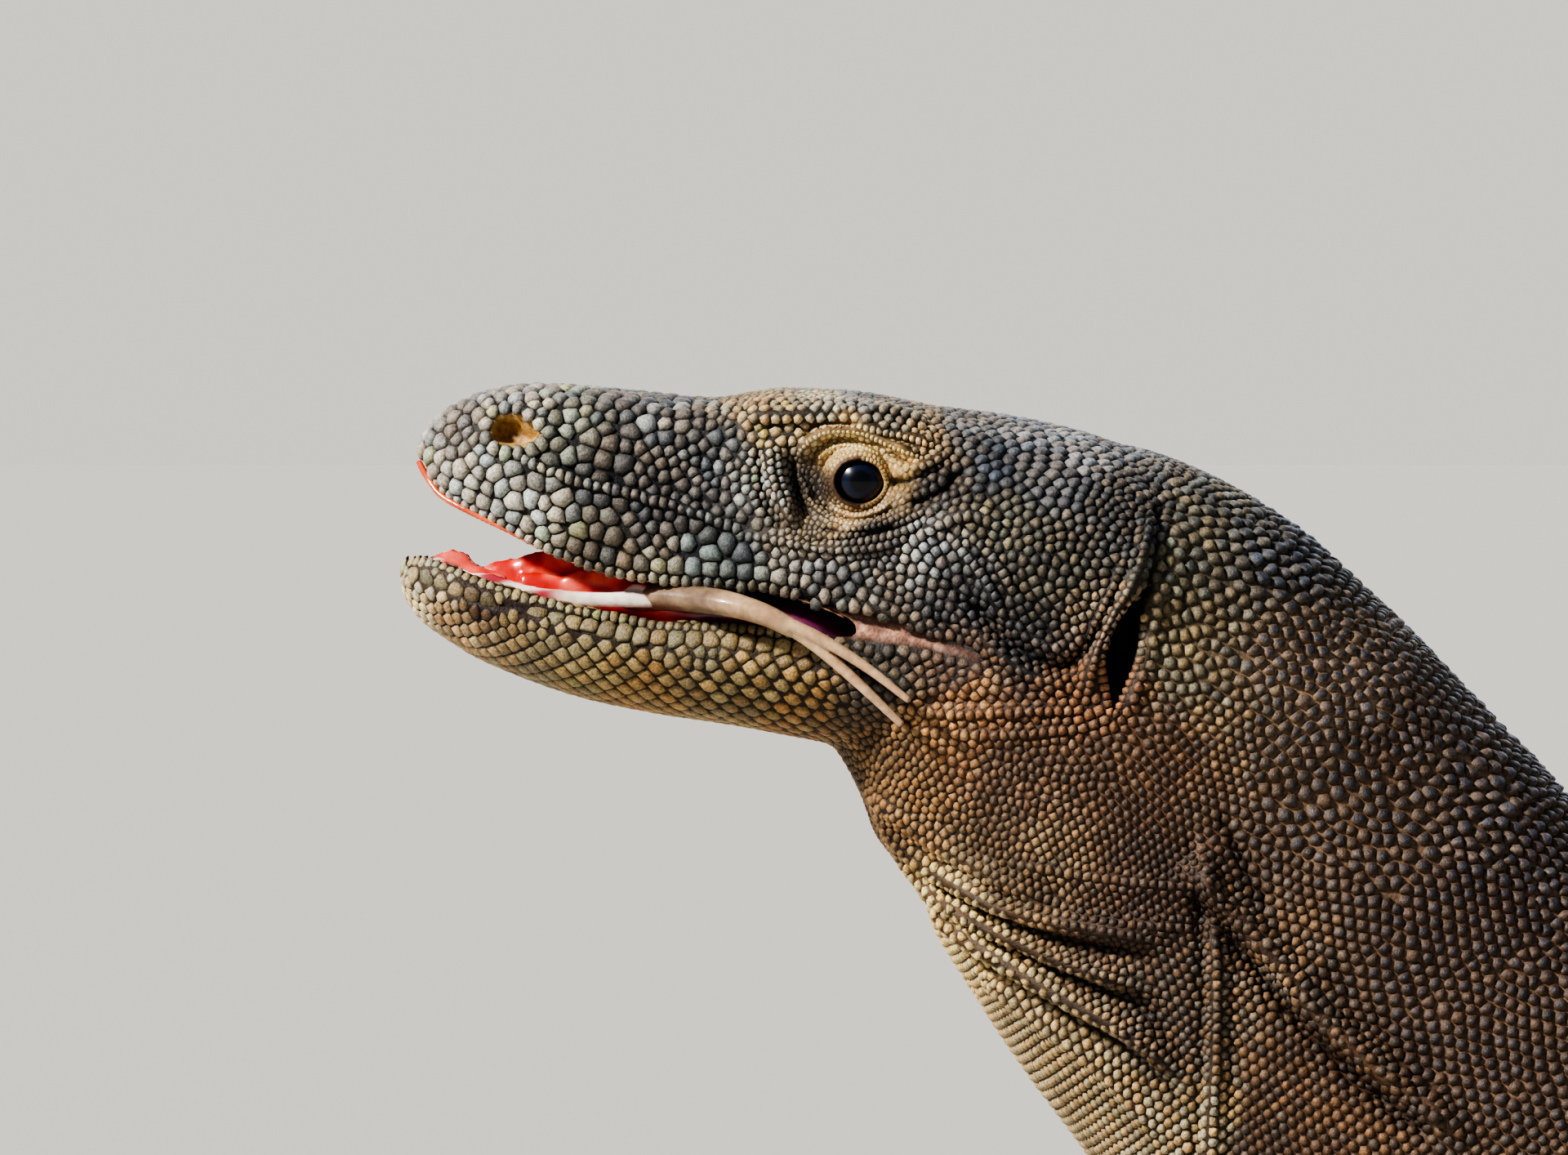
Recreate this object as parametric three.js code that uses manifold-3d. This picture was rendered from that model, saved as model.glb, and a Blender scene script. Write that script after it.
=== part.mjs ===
// A life-size Komodo dragon, standing still with its head raised, mouth a little open and tongue out.
// Millimetres, +Z up. The animal faces -Y, and +X is its left side.
// Each part is a loft: rings of points along a path, closed at both ends.
import * as THREE from "three";
import { mergeVertices } from "three/addons/utils/BufferGeometryUtils.js";
import Module from "manifold-3d";

const wasm = await Module();
wasm.setup();

// ---------------------------------------------------------------- driving dimensions
const EYE_HEIGHT = 525; // of the eye's centre over the floor
const GAP = 0.35; // between parts that meet
const CREASE_GAP = 0.9; // where one part lies in the crease of another
const GROUND = 0; // soles and the lying tail are flat at this level

const EYE = { y: 119, x: 30.5, radius: 9 };
const NOSTRIL = { y: 26, z: 14.5, x: 24, radius: 5, long: 1.3 };
const EAR = { y: 189, z: -44, x: 58, radius: 8, long: 2.0, flat: 0.45, lean: -0.33 };

const SIDES = { body: 20, tail: 12, head: 22, limb: 10, toe: 6, claw: 5, tongue: 6, eye: 12, pit: 8 };

// Heights in the head's tables are over the eye's centre, and y runs back from the snout's tip.
// prettier-ignore
const UPPER_HEAD = [
  // y, top, ridgeX, ridgeZ, sideX, sideZ, lipX, lipZ, roofZ
  [0,     9,  1.5,  8.5,  3,    6.5,  2,    4.5,   5],
  [2,    14,  5,   12,    9,    6,    7.5,  1,     5],
  [6,    18,  8,   15.5, 14,    5,   12,   -4,     4],
  [12,   21.5, 11, 19,   18.5,  5,   16.5, -7.5,   2],
  [22,   25,  14.5, 22,  23,    4,   21.5, -12.5, -3],
  [36,   26,  18,  21.5, 26.5,  1,   25.5, -19.5, -9],
  [55,   24.5, 21, 19,   28,   -2,   29,   -25.8, -15],
  [79,   22.2, 24, 17.5, 31,   -5,   33.5, -28,   -18],
  [97,   24.8, 28.5, 19.5, 35.5, -6, 37,   -30,   -20],
  [119,  23.8, 31, 18,   40,   -8,   42,   -39,   -31],
  [140,  20,  31,  13,   47,  -12,   44,   -58,   -64],
  [165,  16.5, 33,  8,   53,  -20,   44,   -66,   -74],
  [190,   9,  36,   0,   55,  -30,   42,   -70,   -78],
  [212,  -6,  34, -14,   47,  -38,   38,   -70,   -78],
];
// prettier-ignore
const LOWER_JAW = [
  // y, floorZ, lipX, lipZ, outerX, outerZ, keelX, keelZ, bottomZ
  [-5,  -22.5, 2.5, -22,    3,   -24,   2,  -26,   -26.5],
  [-3,  -21.5, 7,  -20.5,  9,   -26,   5,  -31,   -33],
  [1,   -23.5, 12,  -20,   14.5, -27,   8.5, -35.5, -38],
  [8,   -28, 16.5, -21.5, 18.5, -30,  11,  -40.5, -43],
  [19,  -32, 21,   -26,   23,   -35,  14,  -46.5, -49.3],
  [41,  -39, 26,   -32.3, 28,   -42,  18,  -54.5, -57.6],
  [63,  -43, 30,   -36.5, 32.5, -47,  21,  -59.5, -62.5],
  [85,  -45, 34,   -37.5, 37,   -50,  24,  -63,   -65.8],
  [107, -49, 38,   -40,   41.5, -53,  27,  -66.5, -70],
  [130, -54, 42,   -43,   46,   -57,  30,  -69,   -74],
  [150, -58, 43,   -48,   47,   -60,  31,  -70,   -76],
];
const LIP_THICKNESS = 4;
const NARROW_LIP = 0.4; // most of the half width that a lip takes, at the snout's tip

// The body's path, from inside the head to the tail's tip. Heights are over the floor.
// prettier-ignore
const BODY = [
  // x, y, z, half width, half depth across the path
  [0,   134,  494,  40,   46],
  [0,   156,  482,  51,   62],
  [0,   184,  463,  57,   71],
  [0,   205,  440,  60,   76],
  [0,   226,  414,  63,   79],
  [0,   247,  389,  67,   81],
  [0,   276,  353,  74,   85],
  [0,   312,  313,  84,   91],
  [2,   362,  277,  96,   98],
  [6,   430,  250, 106,  103],
  [10,  520,  237, 113,  104],
  [12,  640,  231, 121,  105],
  [8,   760,  226, 121,  101],
  [0,   860,  219, 108,   92],
  [-8,  950,  209,  88,   80],
  [-10, 1030, 195,  66,   68],
  [-6,  1120, 170,  50,   56],
  [6,   1220, 132,  42,   48],
  [26,  1320,  93,  36,   42],
  [50,  1420,  59,  31,   38],
  [72,  1520,  37,  27,   33],
  [86,  1640,  28,  23,   29],
  [80,  1780,  23,  18,   24],
  [52,  1920,  17,  13.5, 18],
  [6,   2050,  12,   9.5, 13],
  [-44, 2150,   7.5,  6,   8.5],
  [-84, 2230,   4,   3,    5],
];
const BODY_SQUARENESS = 2.3; // 2 is an ellipse
// Where the body is parted, as places along the table above.
const PARTS = { neck: 2.7, trunk: 7.6, tail_base: 14.5, tail_middle: 18, tail_tip: 22, end: 26 };
const RINGS_PER_STATION = { neck: 1.5, trunk: 1.7, tail_base: 1.8, tail_middle: 2, tail_tip: 2 };

// A limb's joints for the left side, and what the right side's limb is moved back by at its lower end.
const FORELEG = {
  shoulder: [62, 412, 232],
  elbow: [158, 478, 142],
  wrist: [166, 432, 34],
  upper: [54, 47, 38, 33],
  lower: [25, 36, 28, 20],
  heading: 14,
  palm: { length: 52, width: 25, height: 13 },
  toes: { angles: [-40, -18, 3, 24, 56], reach: [50, 64, 68, 62, 48], thick: 8.2 },
  claw: 22,
  rightShift: 46,
};
const HINDLEG = {
  shoulder: [44, 946, 190],
  elbow: [168, 868, 146],
  wrist: [176, 968, 42],
  upper: [62, 56, 47, 38],
  lower: [29, 40, 30, 21],
  heading: 18,
  palm: { length: 74, width: 27, height: 14 },
  toes: { angles: [-34, -15, 1, 17, 62], reach: [56, 76, 92, 98, 58], thick: 8.6 },
  claw: 24,
  rightShift: -52,
};
const LIMB_FLATNESS = { upper: 0.82, lower: 0.9 }; // depth over width
const ELBOW_SHIFT = 0.45; // share of the right side's shift that its elbow or knee takes
// How a limb's length closes past its end joint: distance and radius as shares of the joint's radius.
const LIMB_END = [[0.5, 0.82], [0.85, 0.35]];

// Stations of the palm: distance past the wrist in mm and as a share of the length, height over the floor
// in mm, and width and thickness as shares of the palm's.
// prettier-ignore
const PALM = [
  [-22, 0,   13,   0.5,  0.85],
  [-10, 0,   15,   0.82, 1.25],
  [0,   0.3, 11.5, 1,    1.05],
  [0,   0.7, 7.5,  1.05, 0.75],
  [0,   1,   4.5,  0.7,  0.45],
];
const TOE_TIP_HEIGHT = 5.2;
// A toe's root: share of the palm's length, and for a spread toe, mm back and share of the width aside.
const TOE_ROOT = { place: 0.62, back: 16, aside: 0.5 };
// Stations of a toe: share of its reach, height over the floor in mm, and shares of its width and thickness.
// prettier-ignore
const TOE = [
  [0.05, 8,   1,    1],
  [0.3,  9.5, 1,    1.05],
  [0.6,  8,   0.98, 1],
  [0.82, 6.3, 0.88, 0.85],
  [1, TOE_TIP_HEIGHT, 0.62, 0.66],
];
const CLAW_DROP = 6;
const CLAW_START = 1.1; // in front of the toe's end
const CLAW_SECTION = { width: 0.4, height: 0.55 }; // shares of the toe's thickness
// Stations of a claw: share of its length, height over the toe's tip, and size.
// prettier-ignore
const CLAW = [
  [0,    1.3, 0.9],
  [0.3,  1.7, 1],
  [0.62, 0.4, 0.72],
  [0.86, 0.4 - 0.5 * CLAW_DROP, 0.42],
  [1,   -0.72 * CLAW_DROP, 0.14],
];

// The tongue lies over the left lower lip and forks outside it.
// prettier-ignore
const TONGUE = {
  // x, y, z over the eye, half width, half height
  stem: [
    [2,    58, -37,   7,   3.2],
    [9,    64, -34,   7,   3.4],
    [20,   70, -31.5, 6.2, 3.6],
    [31,   76, -31.2, 5.4, 3.6],
    [39.5, 84, -32.6, 4.8, 3.4],
    [43.5, 93, -35.2, 4.2, 3.0],
    [45,  101, -39,   3.6, 2.6],
  ],
  inner: [
    [45,  99, -38,   2.2, 2.0],
    [47, 108, -44.5, 1.9, 1.7],
    [50, 119, -54,   1.6, 1.5],
    [52, 130, -64.5, 1.2, 1.1],
  ],
  outer: [
    [45.5,  99, -37.5, 2.2, 2.0],
    [49.5, 109, -42,   1.9, 1.7],
    [54,   121, -49.5, 1.5, 1.4],
    [58,   132, -58,   1.1, 1.0],
  ],
};

const HIDE = { color: 0x4d4238, roughness: 0.8 };
const JAW_HIDE = { color: 0x7d7050, roughness: 0.8 };
const TAIL_HIDE = { color: 0x40382f, roughness: 0.8 };
const HORN = { color: 0x24211f, roughness: 0.35 };
const WET_EYE = { color: 0x15110f, roughness: 0.05 };
const TONGUE_SKIN = { color: 0xcfae8c, roughness: 0.4 };

// ---------------------------------------------------------------- lofts and solids
// Smooth values through the rows of a table: at(place) gives a row, and a place may lie between two rows.
function smooth(rows) {
  const columns = rows[0].map((_, c) => rows.map((row) => row[c]));
  const curves = columns.map(
    (column) =>
      new THREE.CatmullRomCurve3(
        column.map((value) => new THREE.Vector3(value, 0, 0)),
        false,
        "catmullrom",
        0.5,
      ),
  );
  const last = rows.length - 1;
  return (place) => curves.map((curve) => curve.getPoint(THREE.MathUtils.clamp(place / last, 0, 1)).x);
}

// Closes rings of equal length into one body whose faces point out.
function loft(rings) {
  const sides = rings[0].length;
  const points = rings.flat();
  const faces = [];
  for (let r = 0; r + 1 < rings.length; r++) {
    for (let s = 0; s < sides; s++) {
      const a = r * sides + s;
      const b = r * sides + ((s + 1) % sides);
      faces.push([a, b, b + sides], [a, b + sides, a + sides]);
    }
  }
  for (const first of [0, (rings.length - 1) * sides]) {
    const middle = new THREE.Vector3();
    for (let s = 0; s < sides; s++) middle.addScaledVector(points[first + s], 1 / sides);
    points.push(middle);
    for (let s = 0; s < sides; s++) {
      const edge = [first + s, first + ((s + 1) % sides)];
      faces.push(first ? [...edge, points.length - 1] : [edge[1], edge[0], points.length - 1]);
    }
  }
  const geometry = new THREE.BufferGeometry().setFromPoints(points);
  geometry.setIndex(faces.flat());
  if (volumeOf(geometry) < 0) geometry.setIndex(faces.map(([a, b, c]) => [a, c, b]).flat());
  return geometry;
}

function volumeOf(geometry) {
  const corners = [0, 1, 2].map(() => new THREE.Vector3());
  const position = geometry.getAttribute("position");
  let sum = 0;
  for (let i = 0; i < geometry.index.count; i += 3) {
    corners.forEach((corner, k) => corner.fromBufferAttribute(position, geometry.index.getX(i + k)));
    sum += corners[0].dot(corners[1].clone().cross(corners[2])) / 6;
  }
  return sum;
}

// A manifold-3d solid of a geometry, its faces moved out by grow.
function solid(geometry, grow = 0) {
  const bare = geometry.clone();
  bare.deleteAttribute("uv");
  bare.deleteAttribute("normal");
  const merged = mergeVertices(bare, 1e-4);
  const position = merged.getAttribute("position");
  if (grow) {
    merged.computeVertexNormals();
    const normal = merged.getAttribute("normal");
    for (let i = 0; i < position.count; i++) {
      position.setXYZ(
        i,
        position.getX(i) + grow * normal.getX(i),
        position.getY(i) + grow * normal.getY(i),
        position.getZ(i) + grow * normal.getZ(i),
      );
    }
  }
  const triVerts = new Uint32Array(merged.index.array);
  return new wasm.Manifold(new wasm.Mesh({ numProp: 3, vertProperties: position.array, triVerts }));
}

// The geometry of a manifold-3d solid.
function geometryOf(made) {
  const mesh = made.getMesh();
  const geometry = new THREE.BufferGeometry();
  geometry.setAttribute("position", new THREE.BufferAttribute(mesh.vertProperties, 3));
  geometry.setIndex(new THREE.BufferAttribute(mesh.triVerts, 1));
  return geometry;
}

// A ring of a superellipse: half width along side, half height along up.
function ring(middle, side, up, halfWidth, halfHeight, sides, squareness = 2) {
  const power = (value) => Math.sign(value) * Math.abs(value) ** (2 / squareness);
  return Array.from({ length: sides }, (_, s) => {
    const turn = (2 * Math.PI * (s + 0.5)) / sides;
    return middle
      .clone()
      .addScaledVector(side, halfWidth * power(Math.cos(turn)))
      .addScaledVector(up, halfHeight * power(Math.sin(turn)));
  });
}

const onFloor = (points) => points.map((p) => p.setZ(Math.max(p.z, GROUND)));

const SLOPE_STEP = 0.05; // of a station, to either side of a place, to find a path's direction there

// A loft along rows of x, y, z, half width and half height. The width is measured along across.
function tube(rows, steps, sides, { across, from = 0, to = rows.length - 1, squareness = 2 } = {}) {
  const at = smooth(rows);
  const rings = [];
  for (let k = 0; k <= steps; k++) {
    const place = from + ((to - from) * k) / steps;
    const [x, y, z, halfWidth, halfHeight] = at(place);
    const before = new THREE.Vector3(...at(Math.max(place - SLOPE_STEP, 0)));
    const after = new THREE.Vector3(...at(Math.min(place + SLOPE_STEP, rows.length - 1)));
    const along = after.sub(before).normalize();
    const side = across
      ? across.clone().addScaledVector(along, -across.dot(along)).normalize()
      : along.clone().cross(new THREE.Vector3(0, 0, 1)).normalize();
    const up = side.clone().cross(along);
    const middle = new THREE.Vector3(x, y, z);
    rings.push(onFloor(ring(middle, side, up, halfWidth, halfHeight, sides, squareness)));
  }
  return loft(rings);
}

// ---------------------------------------------------------------- head
// A section through outline points on the left side, mirrored and rounded, as x and z pairs at one y.
function headRing(y, outline) {
  const left = outline.map(([x, z]) => new THREE.Vector3(x, y, z + EYE_HEIGHT));
  const right = left.slice(1, -1).map((p) => new THREE.Vector3(-p.x, p.y, p.z));
  const curve = new THREE.CatmullRomCurve3([...left, ...right.reverse()], true, "catmullrom", 0.5);
  return Array.from({ length: SIDES.head }, (_, s) => curve.getPoint(s / SIDES.head));
}

const lipAt = (lipX) => Math.min(LIP_THICKNESS, NARROW_LIP * lipX);

// prettier-ignore
function upperHead() {
  return loft(UPPER_HEAD.map(([y, top, ridgeX, ridgeZ, sideX, sideZ, lipX, lipZ, roofZ]) => {
    const lip = lipAt(lipX);
    const edge = [[lipX, lipZ + 0.5 * lip], [lipX - lip, lipZ]];
    return headRing(y, [[0, top], [ridgeX, ridgeZ], [sideX, sideZ], ...edge, [0, roofZ]]);
  }));
}

// prettier-ignore
function lowerJaw() {
  return loft(LOWER_JAW.map(([y, floorZ, lipX, lipZ, outerX, outerZ, keelX, keelZ, bottomZ]) => {
    const lip = lipAt(lipX);
    const edge = [[lipX - lip, lipZ], [lipX, lipZ - 0.5 * lip]];
    return headRing(y, [[0, floorZ], ...edge, [outerX, outerZ], [keelX, keelZ], [0, bottomZ]]);
  }));
}

// A ball stretched along its own axes, then leant back about X.
function pit({ x, y, z, radius, long = 1, flat = 1, lean = 0 }, side, upright) {
  const ball = new THREE.SphereGeometry(radius, SIDES.pit, Math.round(0.6 * SIDES.pit));
  ball.scale(1, upright ? flat : long, upright ? long : flat);
  ball.rotateX(lean);
  return ball.translate(side * x, y, z + EYE_HEIGHT);
}

// A ball whose poles lie across the head.
function eyeball(side, radius) {
  const ball = new THREE.SphereGeometry(radius, SIDES.eye, Math.round(0.7 * SIDES.eye));
  return ball.rotateZ(Math.PI / 2).translate(side * EYE.x, EYE.y, EYE_HEIGHT);
}

// ---------------------------------------------------------------- body
function bodySegment(from, to, steps, sides) {
  return tube(BODY, steps, sides, { from, to, squareness: BODY_SQUARENESS });
}

function bodyPart(name, next) {
  const stations = PARTS[next] - PARTS[name];
  const sides = name.startsWith("tail") ? SIDES.tail : SIDES.body;
  const gap = 0.5 * GAP;
  const length = bodyLength(PARTS[name], PARTS[next]) / stations; // millimetres in one station
  return bodySegment(
    PARTS[name] + gap / length,
    PARTS[next] - gap / length,
    Math.round(stations * RINGS_PER_STATION[name]),
    sides,
  );
}

function bodyLength(from, to) {
  const at = smooth(BODY);
  const [a, b] = [from, to].map((place) => new THREE.Vector3(...at(place)));
  return a.distanceTo(b);
}

// What lies behind the plane that parts the head from the neck, as a large box.
function behindHead() {
  const at = smooth(BODY);
  const middle = new THREE.Vector3(...at(PARTS.neck));
  const ends = [SLOPE_STEP, -SLOPE_STEP].map((step) => new THREE.Vector3(...at(PARTS.neck + step)));
  const along = ends[0].sub(ends[1]);
  const size = 600; // larger than the neck and the shoulders
  const box = new THREE.BoxGeometry(size, size, size).translate(0, 0.5 * size - 0.5 * GAP, 0);
  box.rotateX(Math.atan2(along.z, along.y));
  return box.translate(middle.x, middle.y, middle.z);
}

// ---------------------------------------------------------------- legs
// A limb's length as a loft with rounded ends past both joints.
function limbLength(start, end, radii, across, flatness) {
  const along = end.clone().sub(start);
  const reach = along.length();
  along.normalize();
  const rows = [];
  const add = (distance, radius) => {
    const p = start.clone().addScaledVector(along, distance);
    rows.push([p.x, p.y, p.z, radius, radius * flatness]);
  };
  const [first, last] = [radii[0], radii[radii.length - 1]];
  for (const [past, size] of [...LIMB_END].reverse()) add(-past * first, size * first);
  radii.forEach((radius, i) => add((reach * i) / (radii.length - 1), radius));
  for (const [past, size] of LIMB_END) add(reach + past * last, size * last);
  return tube(rows, 8, SIDES.limb, { across });
}

// The joints of one limb. The right limb is the left one mirrored, with its lower end set back or forward.
function jointsOf(limb, side) {
  const shift = side > 0 ? 0 : limb.rightShift;
  const place = ([x, y, z], share) => new THREE.Vector3(side * x, y + share * shift, z);
  return {
    shoulder: place(limb.shoulder, 0),
    elbow: place(limb.elbow, ELBOW_SHIFT),
    wrist: place(limb.wrist, 1),
  };
}

// The palm and toes: a flattened loft from the wrist, with each toe arched to the floor.
function footShapes(limb, side) {
  const { wrist } = jointsOf(limb, side);
  const heading = THREE.MathUtils.degToRad(limb.heading) * side;
  const direction = (turn) => new THREE.Vector3(Math.sin(turn), -Math.cos(turn), 0);
  const forward = direction(heading);
  const { length, width, height } = limb.palm;
  const outward = new THREE.Vector3(-forward.y, forward.x, 0).multiplyScalar(side);
  const along = (distance, z) => wrist.clone().addScaledVector(forward, distance).setZ(z);
  const row = (p, w, h) => [p.x, p.y, p.z, w, h];
  const palm = tube(
    PALM.map(([past, share, z, w, h]) => row(along(past + share * length, z), w * width, h * height)),
    PALM.length,
    SIDES.limb,
  );
  const { angles, reach, thick } = limb.toes;
  const toes = angles.map((angle, i) => {
    const toward = direction(heading + side * THREE.MathUtils.degToRad(angle));
    const spread = Math.sin(THREE.MathUtils.degToRad(angle));
    const root = along(TOE_ROOT.place * length - TOE_ROOT.back * Math.abs(spread), 0);
    root.addScaledVector(outward, TOE_ROOT.aside * width * spread);
    const at = (share, z) => root.clone().addScaledVector(toward, share * reach[i]).setZ(z);
    const rows = TOE.map(([share, z, w, h]) => row(at(share, z), w * thick, h * thick));
    return { shape: tube(rows, TOE.length - 1, SIDES.toe), tip: at(1, TOE_TIP_HEIGHT), toward };
  });
  return { palm, toes };
}

// A claw curving forward and down from a toe's flat end.
function clawShape({ tip, toward }, length, thick) {
  const rows = CLAW.map(([share, up, size]) => {
    const p = tip.clone().addScaledVector(toward, share * length + CLAW_START);
    const [w, h] = [CLAW_SECTION.width, CLAW_SECTION.height].map((section) => section * thick * size);
    return [p.x, p.y, p.z + up, w, h];
  });
  return tube(rows, CLAW.length - 1, SIDES.claw);
}

// ---------------------------------------------------------------- the whole animal
const dragon = new THREE.Group();

function part(name, made, look) {
  const geometry = made.isBufferGeometry ? made : geometryOf(made);
  const mesh = new THREE.Mesh(geometry, new THREE.MeshStandardMaterial(look));
  mesh.name = name;
  dragon.add(mesh);
  return mesh;
}

// Head, jaw, eyes and tongue.
const neckInHead = bodySegment(0, PARTS.neck + 1, 6, SIDES.body);
const upper = upperHead();
let head = solid(upper).add(solid(neckInHead)).subtract(solid(behindHead()));
const jaw = solid(lowerJaw()).subtract(solid(upper, CREASE_GAP)).subtract(solid(neckInHead, CREASE_GAP));
for (const side of [1, -1]) {
  head = head.subtract(solid(eyeball(side, EYE.radius + GAP)));
  head = head.subtract(solid(pit(NOSTRIL, side, false)));
  head = head.subtract(solid(pit(EAR, side, true)));
}
const largest = (made) => made.decompose().sort((a, b) => b.volume() - a.volume())[0];
part("head", largest(head), HIDE);
part("lower_jaw", largest(jaw), JAW_HIDE);
for (const [side, name] of [[1, "left"], [-1, "right"]]) {
  part("eye_" + name, eyeball(side, EYE.radius), WET_EYE);
}
const overEye = (rows) => rows.map(([x, y, z, w, h]) => [x, y, z + EYE_HEIGHT, w, h]);
const tongue = [[TONGUE.stem, 9], [TONGUE.inner, 4], [TONGUE.outer, 4]]
  .map(([rows, steps]) => solid(tube(overEye(rows), steps, SIDES.tongue)))
  .reduce((sum, length) => sum.add(length));
part("tongue", tongue.subtract(solid(lowerJaw(), GAP)).subtract(solid(upper, GAP)), TONGUE_SKIN);

// Neck, trunk and tail.
const order = Object.keys(PARTS);
const trunkParts = order.slice(0, -1).map((name, i) =>
  part(name, bodyPart(name, order[i + 1]), name.startsWith("tail") ? TAIL_HIDE : HIDE),
);

// Legs, feet and claws.
const wholeBody = trunkParts
  .slice(0, 3)
  .map((mesh) => solid(mesh.geometry, GAP))
  .reduce((sum, made) => sum.add(made));
const across = new THREE.Vector3(0, 1, 0.15).normalize();
for (const [limb, kind] of [[FORELEG, "fore"], [HINDLEG, "hind"]]) {
  for (const [side, sideName] of [[1, "left"], [-1, "right"]]) {
    const tag = kind + "_" + sideName;
    const { shoulder, elbow, wrist } = jointsOf(limb, side);
    const upperLimb = limbLength(shoulder, elbow, limb.upper, across, LIMB_FLATNESS.upper);
    const lowerLimb = limbLength(elbow, wrist, limb.lower, across, LIMB_FLATNESS.lower);
    const { palm, toes } = footShapes(limb, side);
    const shin = solid(lowerLimb).subtract(solid(upperLimb, GAP)).subtract(solid(palm, GAP));
    const foot = toes.reduce((sum, toe) => sum.add(solid(toe.shape)), solid(palm));
    part("upper_leg_" + tag, largest(solid(upperLimb).subtract(wholeBody)), HIDE);
    part("lower_leg_" + tag, largest(shin.subtract(wholeBody)), HIDE);
    part("foot_" + tag, foot, HIDE);
    toes.forEach((toe, i) => {
      part("claw_" + tag + "_" + (i + 1), clawShape(toe, limb.claw, limb.toes.thick), HORN);
    });
  }
}

// The origin is on the floor, under the middle of the animal's bounding box.
const bounds = new THREE.Box3().setFromObject(dragon);
const middle = bounds.getCenter(new THREE.Vector3());
dragon.position.set(-middle.x, -middle.y, -bounds.min.z);

export default dragon;
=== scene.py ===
"""A life-size Komodo dragon: one skin over the CAD flesh, and solid scales over the skin.

Shapes are worked out in millimetres in the animal's own terms: x to its left, y back from the snout's tip,
z over the floor. Heights in the tables of the head are over the eye's centre. in_frame() turns them into the
frame's metres.
"""
import math
from types import SimpleNamespace

import bmesh
import bpy
import numpy as np
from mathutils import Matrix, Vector
from mathutils.bvhtree import BVHTree
from mathutils.kdtree import KDTree


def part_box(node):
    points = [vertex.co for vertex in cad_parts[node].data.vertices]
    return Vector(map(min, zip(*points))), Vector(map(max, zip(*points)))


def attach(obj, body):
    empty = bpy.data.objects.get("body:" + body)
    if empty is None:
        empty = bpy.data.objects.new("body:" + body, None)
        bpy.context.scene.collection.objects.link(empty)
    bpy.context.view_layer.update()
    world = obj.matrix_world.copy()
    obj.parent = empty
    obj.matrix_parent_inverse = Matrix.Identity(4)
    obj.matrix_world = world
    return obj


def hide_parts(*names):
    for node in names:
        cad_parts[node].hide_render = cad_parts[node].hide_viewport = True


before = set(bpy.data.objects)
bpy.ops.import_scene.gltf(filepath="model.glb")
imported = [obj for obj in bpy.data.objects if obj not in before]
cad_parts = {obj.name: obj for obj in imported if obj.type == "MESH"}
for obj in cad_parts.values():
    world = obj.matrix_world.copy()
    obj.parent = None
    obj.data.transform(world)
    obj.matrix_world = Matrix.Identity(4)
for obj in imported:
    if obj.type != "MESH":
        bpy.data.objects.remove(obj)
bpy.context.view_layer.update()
rng = np.random.default_rng(7)

# ---------------------------------------------------------------- the frame's own places
SNOUT_TO_EYE = 119
eye_low, eye_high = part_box("eye_left")
EYE = SimpleNamespace(
    x=500 * (eye_low.x + eye_high.x),
    y=SNOUT_TO_EYE,
    z=500 * (eye_low.z + eye_high.z),
    radius=500 * (eye_high.z - eye_low.z),
)
ORIGIN_Y = SNOUT_TO_EYE - 500 * (eye_low.y + eye_high.y)


def in_frame(points):
    """The frame's metres from the animal's millimetres."""
    return (np.asarray(points, float) - (0, ORIGIN_Y, 0)) / 1000


# ---------------------------------------------------------------- the flesh, as the solids have it
# y, top, ridge x z, side x z, lip x z, roof z
UPPER_HEAD = [
    [0, 9, 1.5, 8.5, 3, 6.5, 2, 4.5, 5],
    [2, 14, 5, 12, 9, 6, 7.5, 1, 5],
    [6, 18, 8, 15.5, 14, 5, 12, -4, 4],
    [12, 21.5, 11, 19, 18.5, 5, 16.5, -7.5, 2],
    [22, 25, 14.5, 22, 23, 4, 21.5, -12.5, -3],
    [36, 26, 18, 21.5, 26.5, 1, 25.5, -19.5, -9],
    [55, 24.5, 21, 19, 28, -2, 29, -25.8, -15],
    [79, 22.2, 24, 17.5, 31, -5, 33.5, -28, -18],
    [97, 24.8, 28.5, 19.5, 35.5, -6, 37, -30, -20],
    [119, 23.8, 31, 18, 40, -8, 42, -39, -31],
    [140, 20, 31, 13, 47, -12, 44, -58, -64],
    [165, 16.5, 33, 8, 53, -20, 44, -66, -74],
    [190, 9, 36, 0, 55, -30, 42, -70, -78],
    [212, -6, 34, -14, 47, -38, 38, -70, -78],
]
# y, floor z, lip x z, outer x z, keel x z, bottom z
LOWER_JAW = [
    [-5, -22.5, 2.5, -22, 3, -24, 2, -26, -26.5],
    [-3, -21.5, 7, -20.5, 9, -26, 5, -31, -33],
    [1, -23.5, 12, -20, 14.5, -27, 8.5, -35.5, -38],
    [8, -28, 16.5, -21.5, 18.5, -30, 11, -40.5, -43],
    [19, -32, 21, -26, 23, -35, 14, -46.5, -49.3],
    [41, -39, 26, -32.3, 28, -42, 18, -54.5, -57.6],
    [63, -43, 30, -36.5, 32.5, -47, 21, -59.5, -62.5],
    [85, -45, 34, -37.5, 37, -50, 24, -63, -65.8],
    [107, -49, 38, -40, 41.5, -53, 27, -66.5, -70],
    [130, -54, 42, -43, 46, -57, 30, -69, -74],
    [150, -58, 43, -48, 47, -60, 31, -70, -76],
]
HEAD_LIP_X, ROOF_Z = 6, 8  # columns of UPPER_HEAD
FLOOR_Z, JAW_LIP_X = 1, 2  # columns of LOWER_JAW
HEAD_SIDES = 120  # points round the head and the jaw
LIP_THICKNESS = 4
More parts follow.
